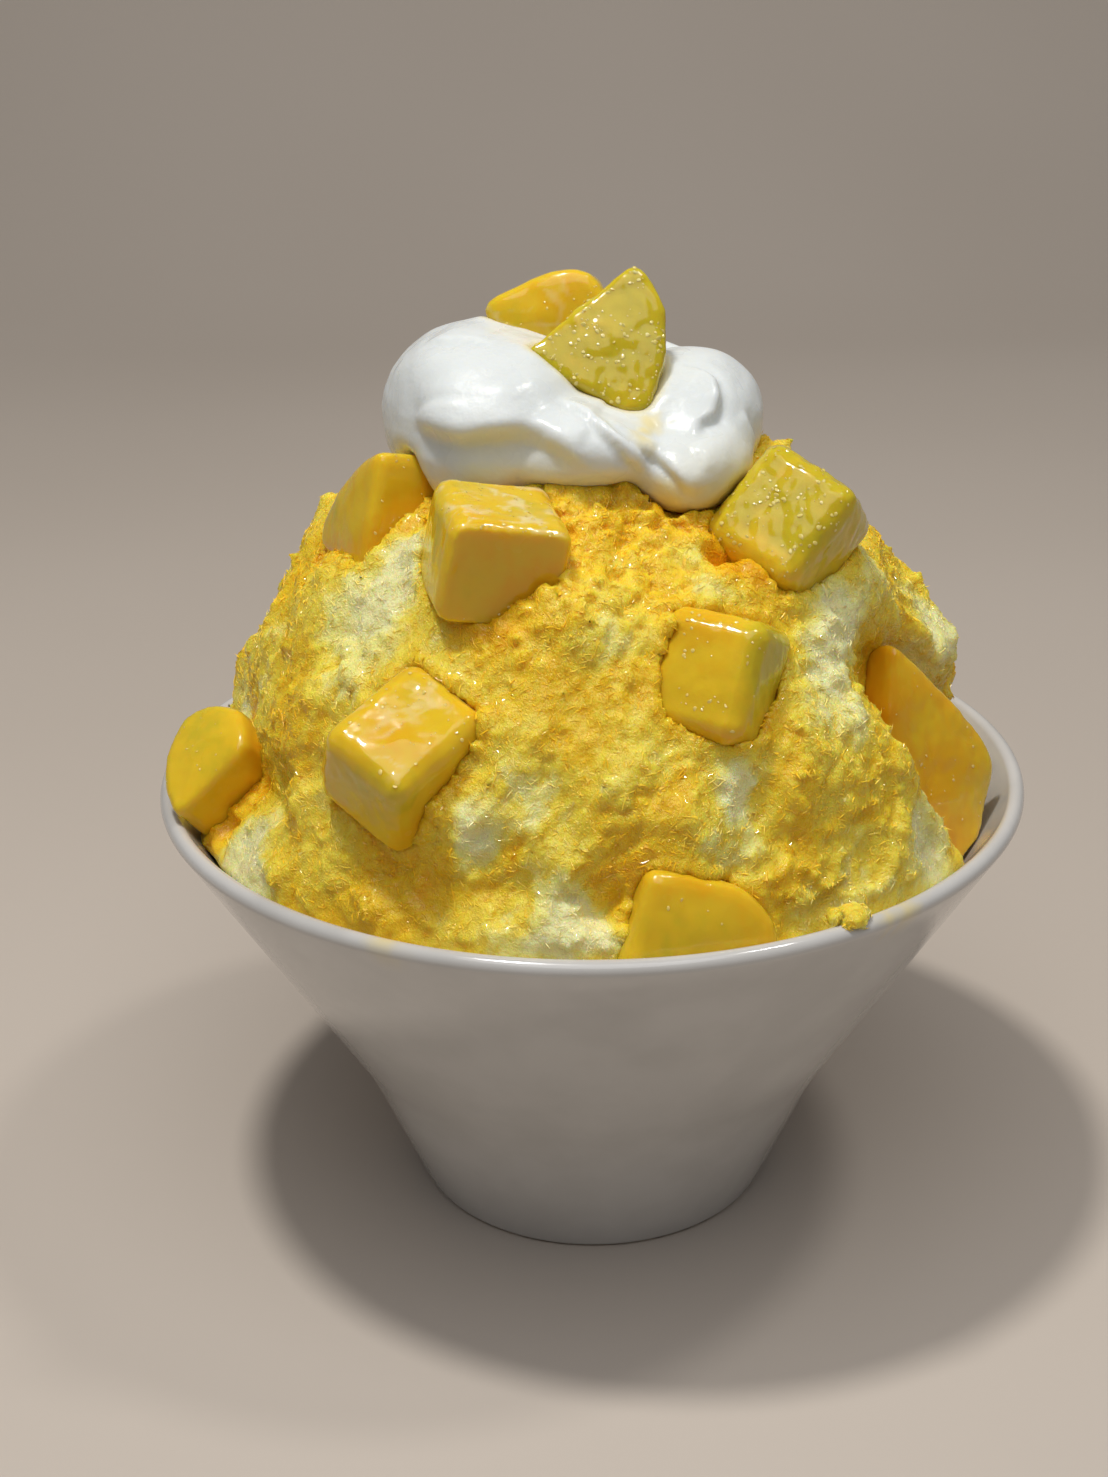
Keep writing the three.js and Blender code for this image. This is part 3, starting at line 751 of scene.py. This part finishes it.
def look_of(name):
    return FRUIT_LOOKS.get(name.removeprefix("mango_"), PLAIN_LOOK)


def dress_fruit(name, seed):
    ripe, green, smear, fibre = look_of(name)
    piece = skin_of(name, name.replace("mango_", "mango_flesh_"), FRUIT_CELL)
    soften(piece, 1)
    mesh = piece.data
    points, normals = points_of(mesh), normals_of(mesh)
    low, high = points.min(0), points.max(0)
    share = (points - (low + high) / 2) / ((high - low) / 2)
    across = points * [1, 1, 0.22]
    relief = FRUIT_WAVES * lumps(points, 9 * MM, seed) + fibre * lumps(across, 1.7 * MM, seed)
    relief += 0.9 * fibre * lumps(points, 2.4 * MM, seed + 3) - 0.1
    *way, amount = smear
    facing_it = ramp(normals @ unit(way), 0.35, 0.9)
    twisted = points + drift(points, 1.5, 5, (seed + 1, seed + 2, seed + 4))
    streaks = 1 - 4.5 * np.abs(lumps(twisted * [1, 1.6, 1.6], 6 * MM, seed + 9))
    streaks += 1.2 * lumps(points, 4 * MM, seed + 8) + 0.5 * lumps(points, 1.5 * MM, seed + 6)
    milk = amount * facing_it * ramp(streaks, 0.0, 1.5)
    move_points(mesh, points + normals * ((relief + SMEAR_DEPTH * milk) * MM)[:, None])
    *way, amount = green
    ripe = ripe + 0.14 * lumps(points, 11 * MM, seed + 5) + 0.05 * lumps(across, 2 * MM, seed)
    foot = 1 - distances(points, ice_tree, FOOT_REACH) / FOOT_REACH
    ripe += FOOT_RIPENS * foot - amount * ramp(share @ unit(way), 0.1, 1.1)
    mark(mesh, "ripe", np.clip(ripe, 0, 1))
    mark(mesh, "milk", milk)
    return piece


fruit = {name: dress_fruit(name, 60 + 7 * i) for i, name in enumerate(fruit_names)}
print("fruit:", sum(len(triangles_of(p.data)) for p in fruit.values()), "triangles")

# %% [markdown]
# ## The whipped cream
#
# The cream was laid on with a spoon in soft lobes, and where one lobe folds over the next there is
# a crisp step: the upper sheet ends in an edge, and a small groove runs along its foot. The lobes
# come from the frame. A voxel remesh and some softening melt them into one dollop. Each fold is
# then drawn as a path, and a point's signed distance from it decides how far the point rises. The
# cream also creeps up a little round the wedges that stand in it.

# %% Soft dollop
CREAM_CELL = 0.62 * MM
cream = skin_of("whipped_cream", "cream_dollop", CREAM_CELL)
soften(cream, 70)
print("cream:", len(triangles_of(cream.data)), "triangles")

# %% Folds
FOLDS = [  # height, reach and softness of the step in mm, and its path, high sheet on the left
    (0.8, 5, 0.9, [(-32, -10, 187), (-27.3, -13.1, 189), (-22.5, -15, 189.4), (-18, -17.7, 189)]),
    (0.5, 4, 0.7, [(-22.3, -28.9, 181.1), (-27, -27.5, 180.4), (-31.8, -25.2, 178.4),
                   (-33.5, -23.8, 175.7)]),
    (3.2, 9, 2.0, [(-34.5, -22, 176), (-31.5, -26, 176), (-28, -29, 175.6), (-24.2, -31.5, 175.4),
                   (-18.7, -32, 175.9), (-14.1, -31.6, 176), (-9.5, -32.5, 175.4),
                   (-6.6, -34.7, 174.2), (-3.2, -36.3, 171.9), (1.4, -36.4, 171.2)]),
    (1.4, 4, 0.6, [(-8, -26, 180), (-3.9, -27.6, 178.6), (-0.3, -31.7, 177.2), (3.3, -34.5, 175),
                   (6.9, -35, 171), (10.7, -33.4, 166.5)]),
    (1.2, 3, 0.6, [(15.5, -35.8, 165.5), (12.5, -34, 168.8), (9.7, -33.6, 171.6), (6.9, -34, 174),
                   (3.3, -32.5, 176.4), (-0.3, -28.7, 178.3)]),
    (1.4, 5, 0.8, [(8, -33.8, 174), (12, -32, 170.6), (15.2, -35.3, 168.5), (18, -35.6, 165.4),
                   (19, -35, 163)]),
    (1.8, 5, 1.0, [(18.1, -30.7, 173.9), (20.3, -25.1, 175.2), (23.3, -23.1, 176.5),
                   (24.7, -20.2, 179.6), (23.6, -17.3, 182.1), (20.9, -15.1, 183.5),
                   (16.6, -13.4, 184.3)]),
    (0.9, 5, 1.2, [(31.4, -16, 168.6), (30.4, -17.8, 173), (29, -17.8, 176.6)]),
    (0.6, 4, 0.8, [(18.1, -30.7, 173.9), (19.8, -33.7, 171.8), (20.7, -35.2, 168.4)]),
    (1.4, 6, 1.2, [(14, 20, 181), (0, 22, 184), (-16, 21, 188), (-30, 14, 187)]),
    (1.2, 5, 1.2, [(-8, 29, 176), (8, 25, 178), (20, 14, 181), (26, 6, 182)]),
    (1.3, 7, 1.2, [(-4, 29, 175), (-22, 24, 178), (-36, 14, 177), (-40, 0, 176)])]


def fold(points, normals, height, reach, softness, path):
    """How far each point rises, in mm, beside one fold."""
    path = np.array(path, float) * MM
    lengths = length(np.diff(path, axis=0))
    begins = np.cumsum(lengths) - lengths
    nearest = np.full(len(points), np.inf)
    side, along = np.zeros(len(points)), np.zeros(len(points))
    for start, end, long, begin in zip(path[:-1], path[1:], lengths, begins):
        line = (end - start) / long
        t = np.clip((points - start) @ line, 0, long)
        off = points - start - t[:, None] * line
        far = length(off)
        closer = far < nearest
        leftward = np.sum(np.cross(normals, line) * off, axis=1)
        nearest = np.where(closer, far, nearest)
        side = np.where(closer, np.sign(leftward), side)
        along = np.where(closer, (begin + t) / lengths.sum(), along)
    away = side * nearest / MM
    ends = ramp(along, 0, 0.25) * ramp(1 - along, 0, 0.25)
    step = ramp(away, -softness, softness) * np.exp(-np.maximum(away, 0) / reach)
    groove = 0.3 * np.exp(-((away / softness + 1.5) / 1.4) ** 2)
    return height * ends * (step - groove)


CREAM_DRIPS = [  # pale drips under the front wedge, and how far each spread, in mm
    ((10.6, -26.0, 175.6), 2.4), ((9.9, -28.8, 175.3), 1.7), ((9.2, -31.6, 174.2), 2.0)]
DRIP_HEIGHT = 0.5  # in mm, like the next
WEDGE_CLING = 1.3
WEDGE_REACH = 2.4 * MM
wedges = tree_of(["mango_top_back", "mango_top_front"])

mesh = cream.data
points, normals = points_of(mesh), normals_of(mesh)
bent = points + drift(points, 0.3, 7, (41, 42, 43))
rise = 0.5 * lumps(points, 16 * MM, 44) + 0.12 * lumps(points * [1, 1, 2], 6 * MM, 45)
for height, reach, softness, path in FOLDS:
    rise += fold(bent, normals, height, reach, softness, path)
rise += DRIP_HEIGHT * stains(points, CREAM_DRIPS)
rise += WEDGE_CLING * np.exp(-(distances(points, wedges, 3 * WEDGE_REACH) / WEDGE_REACH) ** 2)
move_points(mesh, points + normals * ((rise - 0.1) * MM)[:, None])
soften(cream, 3)

# %% Juice that the cream took up, and painted bounce light and shade below its lobes
points = points_of(mesh)
# Yellow towards the bottom of the dollop and on the lower right lobe: partly juice, partly painted
# bounce light from the yellow ice and painted shade under the overhanging lobes.
juice_and_bounce_below = 0.8 * ramp(0.35 * lumps(points, 5 * MM, 47) - (points[:, 2] / MM - 168.5) / 7, 0, 1.1)
juice_and_bounce_below += 0.35 * ramp(points[:, 0] / MM, 8, 26) * ramp(-points[:, 2] / MM, -176, -166)
beside = 0.6 * np.exp(-(distances(points, wedges, 6 * MM) / (1.3 * MM)) ** 2)
dripped = 0.75 * stains(points, CREAM_DRIPS)
# The cream's juice mark holds real juice and also this painted bounce light and shade.
mark(mesh, "juice", np.clip(np.maximum.reduce([juice_and_bounce_below, beside, dripped]), 0, 1))

# %% [markdown]
# ## Juice
#
# Cut mango weeps. Beads of juice stand on its faces and edges and sparkle. A bead is a shallow
# dome, so each is a small ball squashed flat and sunk halfway into the flesh. It takes the
# ripeness of the flesh below, since juice is clear. All are one joined mesh.

# %% Beads of juice
BEADS = {  # beads for each piece, the way that the beaded side faces, the largest bead in mm
    "top_front": (170, (-0.1, -1, 0.6), 1.0),
    "top_back": (16, (-0.1, -1, 0.4), 0.8),
    "cube_upper_right": (150, (-0.2, -1, 0.8), 1.0),
    "cube_upper_centre": (60, (0, -0.6, 1), 0.9),
    "cube_middle_left": (60, (0.1, -0.3, 1), 0.9),
    "cube_middle_right": (60, (0.2, -0.8, 1), 0.8),
    "slab_upper_left": (24, (0.4, -1, 0.3), 0.7),
    "chunk_rim_left": (14, (-0.4, -0.6, 1), 0.7),
    "chunk_rim_front": (14, (-0.4, -0.4, 1), 0.8),
    "slice_rim_right": (30, (0.4, -1, 0.4), 0.8),
    "cube_back_high": (60, (0, 0.6, 1), 0.9),
    "cube_back_left": (50, (-0.4, 0.8, 1), 0.9),
    "cube_back_right": (50, (0.6, 0.6, 1), 0.9),
    "chunk_rim_back": (20, (0, 1, 1), 0.9)}
BEAD_HEIGHT = 0.2  # of its width
BEAD_TILT = 22
SMALLEST_BEAD = 0.35  # in mm
BEAD_TRIES = 9  # for each bead that is wanted

work = bmesh.new()
bmesh.ops.create_icosphere(work, subdivisions=2, radius=1)
ball = np.array([v.co for v in work.verts])
ball_faces = np.array([[v.index for v in f.verts] for f in work.faces])
work.free()

random = np.random.default_rng(77)
bead_places, bead_normals, bead_widths, bead_ripe = [], [], [], []
for name, (count, way, largest) in BEADS.items():
    name, way = "mango_" + name, unit(way)
    wet = lambda p, n: (n @ way > 0.5) & (lumps(p, 4 * MM, 71) > -0.35)
    places, normals = scatter(fruit[name].data, count * BEAD_TRIES, random, wet)
    places, normals = places[:count], normals[:count]
    bead_places.append(places)
    bead_normals.append(normals)
    bead_widths.append(
        SMALLEST_BEAD + (largest - SMALLEST_BEAD) * random.random(len(places)) ** 2)
    bead_ripe.append(np.full(len(places), look_of(name)[0]))
bead_places, bead_normals = np.concatenate(bead_places), np.concatenate(bead_normals)
half = 0.5 * np.concatenate(bead_widths)[:, None] * MM
bead_sizes = np.hstack([half * random.uniform(0.8, 1.4, half.shape), half, half * BEAD_HEIGHT])
bead_points, bead_faces = copies(ball, ball_faces, bead_places,
                                 turned_frames(bead_normals, random, BEAD_TILT), bead_sizes)
beads = show("juice_beads", mesh_from(bead_points, bead_faces))
mark(beads.data, "ripe", np.repeat(np.concatenate(bead_ripe), len(ball)))
print("beads:", len(bead_places), "with", len(bead_faces), "triangles")

# %% [markdown]
# ## Finishes
#
# Every finish is one Principled shader whose inputs vary over the surface. Two effects are used
# by several finishes, so each is a node group. "fine relief" adds layers of noise into a height
# for bumps too small to model. "wet patches" says where a surface is wetter, for its roughness.

# %% Node helpers
def plug(tree, value, socket):
    """Links an output to the socket, or sets a plain number or colour there."""
    if isinstance(value, bpy.types.NodeSocket):
        tree.links.new(value, socket)
    else:
        socket.default_value = (*value, 1) if socket.type == "RGBA" else value


def add_node(tree, kind, inputs, **settings):
    """A node of a kind with its settings, and with its inputs plugged by name or by number."""
    node = tree.nodes.new("ShaderNode" + kind)
    for setting, value in settings.items():
        setattr(node, setting, value)
    for label, value in inputs.items():
        plug(tree, value, node.inputs[label])
    return node


def math_node(tree, operation, *values):
    return add_node(tree, "Math", dict(enumerate(values)), operation=operation).outputs[0]


def noise_node(tree, scale, detail, roughness=0.5):
    place = add_node(tree, "TexCoord", {}).outputs["Object"]
    return add_node(tree, "TexNoise", {
        "Vector": place, "Scale": scale, "Detail": detail, "Roughness": roughness}).outputs["Fac"]


def new_group(name, usual, output):
    """A node group with its usual input values and one output, its way in and its way out."""
    group = bpy.data.node_groups.new(name, "ShaderNodeTree")
    for label, value in usual.items():
        socket = group.interface.new_socket(label, in_out="INPUT", socket_type="NodeSocketFloat")
        socket.default_value = value
    group.interface.new_socket(output, in_out="OUTPUT", socket_type="NodeSocketFloat")
    way_in, way_out = group.nodes.new("NodeGroupInput"), group.nodes.new("NodeGroupOutput")
    return group, way_in.outputs, way_out.inputs[output]


# %% Group: fine relief
fine_relief, given, height = new_group(
    "fine relief", {"Coarse per metre": 400, "Fine per metre": 1800, "Fine share": 0.5}, "Height")
coarse = noise_node(fine_relief, given["Coarse per metre"], 3)
fine = noise_node(fine_relief, given["Fine per metre"], 2, 0.6)
scaled = math_node(fine_relief, "MULTIPLY", fine, given["Fine share"])
plug(fine_relief, math_node(fine_relief, "ADD", coarse, scaled), height)

# %% Group: wet patches
wet_patches, given, roughness = new_group(
    "wet patches", {"Per metre": 150, "Wet roughness": 0.1, "Dry roughness": 0.4}, "Roughness")
spread = add_node(wet_patches, "MapRange", {
    "Value": noise_node(wet_patches, given["Per metre"], 2), "From Min": 0.35, "From Max": 0.65,
    "To Min": given["Wet roughness"], "To Max": given["Dry roughness"]},
    interpolation_type="SMOOTHSTEP")
plug(wet_patches, spread.outputs["Result"], roughness)


# %% A finish with both groups
def finish(name, relief, bump, patches, sockets):
    """A material with its bump and its wet patches in place: relief is coarse and fine grains a
    metre and the fine share, bump its depth in mm, patches the wet patches group's inputs."""
    material = bpy.data.materials.new(name)
    material.use_nodes = True
    tree = material.node_tree
    shader = tree.nodes["Principled BSDF"]
    height = add_node(tree, "Group", {}, node_tree=fine_relief)
    wet = add_node(tree, "Group", {}, node_tree=wet_patches)
    for node, values in ((height, relief), (wet, patches)):
        for socket, value in zip(node.inputs, values):
            plug(tree, value, socket)
    lift = add_node(tree, "Bump", {"Distance": bump * MM, "Height": height.outputs["Height"]})
    sockets = {**sockets, "Normal": lift.outputs["Normal"], "Roughness": wet.outputs["Roughness"]}
    for label, value in sockets.items():
        plug(tree, value, shader.inputs[label])
    return material, tree, shader.inputs["Base Color"]


def colour_ramp(tree, value, stops):
    node = add_node(tree, "ValToRGB", {"Fac": value})
    node.color_ramp.interpolation = "EASE"
    marks = node.color_ramp.elements
    while len(marks) < len(stops):
        marks.new(0.5)
    for stop, (at, colour) in zip(marks, stops):
        stop.position = at
        stop.color = (*colour, 1)
    return node.outputs["Color"]


def kept(tree, name):
    """The number that the mesh keeps under this name at each point."""
    return add_node(tree, "Attribute", {}, attribute_name=name).outputs["Fac"]


def unsettle(tree, value, per_metre, detail, swing):
    """Shifts a value by noise, up to half the swing either way."""
    noise = noise_node(tree, per_metre, detail, 0.6)
    shift = math_node(tree, "MULTIPLY_ADD", noise, swing, -swing / 2)
    return math_node(tree, "ADD", value, shift)


MIX_A, MIX_B, MIXED = 6, 7, 2  # the Mix node's sockets for colours, which share their names


def blend(tree, share, a, b):
    """Mixes two colours by a share."""
    inputs = {"Factor": share, MIX_A: a, MIX_B: b}
    return add_node(tree, "Mix", inputs, data_type="RGBA").outputs[MIXED]


# %% [markdown]
# ### Syrup ice
#
# Ice lets light in and the syrup tints it on the way, so subsurface scattering gives the glow of
# wet shaved ice. The soak kept at each point picks the colour: near white where dry, lemon,
# golden, then amber where it pooled. A second, finer noise breaks the edges between them.

# %% Ice finish
SOAK_COLOURS = [(0.0, (0.96, 0.87, 0.42)), (0.22, (0.97, 0.84, 0.26)), (0.45, (0.98, 0.72, 0.07)),
                (0.68, (0.98, 0.61, 0.025)), (1.0, (0.88, 0.46, 0.008))]


def ice_finish(name, relief, bump, wet, glow):
    material, tree, base = finish(name, relief, bump, wet, {
        "Subsurface Weight": glow, "Subsurface Radius": (1.0, 0.7, 0.25),
        "Subsurface Scale": 2.4 * MM, "IOR": 1.33, "Coat Weight": 0.25, "Coat Roughness": 0.05})
    soak = unsettle(tree, kept(tree, "soak"), 700, 2, 0.22)
    plug(tree, colour_ramp(tree, soak, SOAK_COLOURS), base)
    return material


syrup_ice = ice_finish("syrup ice", (700, 2200, 0.7), 0.5, (220, 0.14, 0.42), 0.9)
crystal_ice = ice_finish("ice crystals", (900, 3000, 0.3), 0.02, (400, 0.05, 0.22), 0.0)

# %% [markdown]
# ### Mango
#
# The flesh is translucent and wet. Ripeness picks its colour from green-yellow to orange, and the
# milky smears lie over that in white. The light goes deeper than in ice, so shaded sides glow.

# %% Mango finish
RIPE_COLOURS = [(0.0, (0.52, 0.43, 0.022)), (0.25, (0.60, 0.465, 0.02)),
                (0.5, (0.77, 0.52, 0.022)), (0.75, (0.79, 0.44, 0.012)),
                (1.0, (0.72, 0.33, 0.006))]
MILKY_COLOUR = (0.86, 0.80, 0.58)


def mango_finish(name, relief, bump, wet):
    material, tree, base = finish(name, relief, bump, wet, {
        "Subsurface Weight": 0.8, "Subsurface Radius": (1.0, 0.6, 0.12),
        "Subsurface Scale": 4 * MM, "Specular IOR Level": 0.25, "IOR": 1.38,
        "Coat Weight": 0.6, "Coat Roughness": 0.03})
    ripe = unsettle(tree, kept(tree, "ripe"), 260, 4, 0.30)
    flesh = colour_ramp(tree, ripe, RIPE_COLOURS)
    plug(tree, blend(tree, kept(tree, "milk"), flesh, MILKY_COLOUR), base)
    return material


smooth_mango = mango_finish("mango flesh", (200, 600, 0.3), 0.07, (160, 0.08, 0.28))
fibrous_mango = mango_finish("fibrous mango flesh", (300, 700, 0.4), 0.10, (200, 0.06, 0.16))
FIBROUS = ("mango_top_front", "mango_cube_upper_right", "mango_cube_middle_right")

# %% [markdown]
# ### Cream, glaze and juice
#
# Whipped cream is the whitest thing here, soft and only a little shiny, and it takes up yellow
# juice. Its yellow lower edge is partly that juice and partly painted bounce light from the ice and
# painted shade under its lobes. The glaze is clear glass over white clay: smooth, with faint orange
# peel. The foot ring, where the glaze was wiped off, is bare clay. Juice is clear and coloured.

# %% Cream finish
CREAM_COLOUR = (0.74, 0.77, 0.755)
# Yellow of juice in the cream; at its lower edge it also stands for painted bounce light and shade.
CREAM_JUICE_AND_BOUNCE = (0.82, 0.68, 0.26)

creamy, tree, base = finish("whipped cream", (90, 500, 0.35), 0.35, (120, 0.22, 0.42), {
    "Subsurface Weight": 0.6, "Subsurface Radius": (1.0, 0.9, 0.75), "Subsurface Scale": 3 * MM,
    "IOR": 1.4, "Coat Weight": 0.12, "Coat Roughness": 0.15})
# Where the juice mark is high the cream turns yellow, which is partly painted bounce light and
# shade.
plug(tree, blend(tree, kept(tree, "juice"), CREAM_COLOUR, CREAM_JUICE_AND_BOUNCE), base)

# %% Glaze finish
GLAZE_COLOURS = [(0.3, (0.54, 0.525, 0.50)), (0.7, (0.59, 0.575, 0.55))]
STAIN_COLOUR = (0.80, 0.62, 0.14)
BARE_CLAY = (0.62, 0.56, 0.48)
GLAZE_ENDS = 0.9 * MM  # above the table
CLAY_BEGINS = 0.5 * MM

glaze, tree, base = finish("white glaze", (60, 420, 0.25), 0.05, (70, 0.09, 0.17), {
    "IOR": 1.5, "Coat Weight": 0.4, "Coat Roughness": 0.05})
place = add_node(tree, "TexCoord", {}).outputs["Object"]
height = add_node(tree, "SeparateXYZ", {"Vector": place}).outputs["Z"]
bare = add_node(tree, "MapRange", {
    "Value": height, "From Min": GLAZE_ENDS, "From Max": CLAY_BEGINS}).outputs["Result"]
tone = colour_ramp(tree, noise_node(tree, 55, 3), GLAZE_COLOURS)
stained = blend(tree, kept(tree, "juice"), tone, STAIN_COLOUR)
plug(tree, blend(tree, bare, stained, BARE_CLAY), base)

# %% Juice finish
CLEAR_JUICE = (0.95, 0.80, 0.30)
CLEARNESS = 0.45

juice, tree, base = finish("mango juice", (300, 1500, 0.3), 0.03, (200, 0.03, 0.10), {
    "IOR": 1.5, "Coat Weight": 1.0, "Coat IOR": 1.6, "Coat Roughness": 0.03})
flesh = colour_ramp(tree, kept(tree, "ripe"), RIPE_COLOURS)
plug(tree, blend(tree, CLEARNESS, flesh, CLEAR_JUICE), base)

# %% [markdown]
# ## Put together
#
# Each piece takes its finish and rides on the one body, and the new pieces stand in for the plain
# solids of the frame.

# %% Dress and mount the pieces
def mount(piece, material, slot, *replaced):
    piece.data.materials.clear()
    piece.data.materials.append(material)
    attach(piece, "root")
    if replaced:
        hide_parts(*replaced)


mount(bowl, glaze, "glazed_white", "bowl")
mount(ice, syrup_ice, "syrup_ice", "shaved_ice")
for piece in crystal_pieces:
    mount(piece, crystal_ice, "syrup_ice")
mount(cream, creamy, "cream", "whipped_cream")
for name, piece in fruit.items():
    mount(piece, fibrous_mango if name in FIBROUS else smooth_mango, "mango", name)
mount(beads, juice, "mango")

# %% [markdown]
# ## Floor and light
#
# The dish stands on a plain pale surface that curves up behind it. Two small panels high above it
# light the heap and the lip, so that the bowl's front wall falls into a gentle shade. A wide
# ceiling panel on the eater's side and a weak sky fill in the rest.

# %% Floor with a curved back
FLOOR_REACH = 1.6
SWEEP_RADIUS = 0.5
FLOOR_COLOURS = [(0.3, (0.54, 0.47, 0.40)), (0.7, (0.57, 0.50, 0.43))]

turns = np.linspace(0, math.pi / 2, 13)
floor_line = [(-FLOOR_REACH, 0.0)]
floor_line += [(FLOOR_REACH / 2 + SWEEP_RADIUS * math.sin(t), SWEEP_RADIUS * (1 - math.cos(t)))
               for t in turns]
floor_line.append((FLOOR_REACH / 2 + SWEEP_RADIUS, FLOOR_REACH))
floor_points = [(x, y, z) for x in (-FLOOR_REACH, FLOOR_REACH) for y, z in floor_line]
row = len(floor_line)
floor_faces = np.array([(i, i + row, i + row + 1, i + 1) for i in range(row - 1)])
floor = show("floor", mesh_from(np.array(floor_points), floor_faces))
floor_finish, tree, base = finish("pale floor", (4, 40, 0.3), 0.02, (3, 0.55, 0.7), {})
plug(tree, colour_ramp(tree, noise_node(tree, 1.5, 2), FLOOR_COLOURS), base)
floor.data.materials.append(floor_finish)


# %% Lights
LIT_POINT = Vector((0, 0, 0.12))
WARM = (1.0, 0.98, 0.95)


def panel(name, place, size, power, colour):
    light = bpy.data.lights.new(name, "AREA")
    light.shape = "DISK"
    light.size = size
    light.energy = power
    light.color = colour
    lamp = bpy.data.objects.new(name, light)
    lamp.location = place
    away = Vector(place) - LIT_POINT
    lamp.rotation_euler = away.to_track_quat("Z", "Y").to_euler()
    bpy.context.scene.collection.objects.link(lamp)


panel("key panel", (-0.22, -0.12, 1.15), 0.12, 6.5, WARM)
panel("second panel", (0.45, -0.02, 1.1), 0.14, 2.0, WARM)
panel("ceiling panel", (0.0, -0.75, 1.55), 1.5, 9.6, (0.98, 0.98, 1.0))

world = bpy.data.worlds.new("room")
world.use_nodes = True
sky = world.node_tree.nodes["Background"]
sky.inputs["Color"].default_value = (0.72, 0.76, 0.82, 1)
sky.inputs["Strength"].default_value = 0.15
bpy.context.scene.world = world
bpy.context.scene.view_settings.view_transform = "Standard"
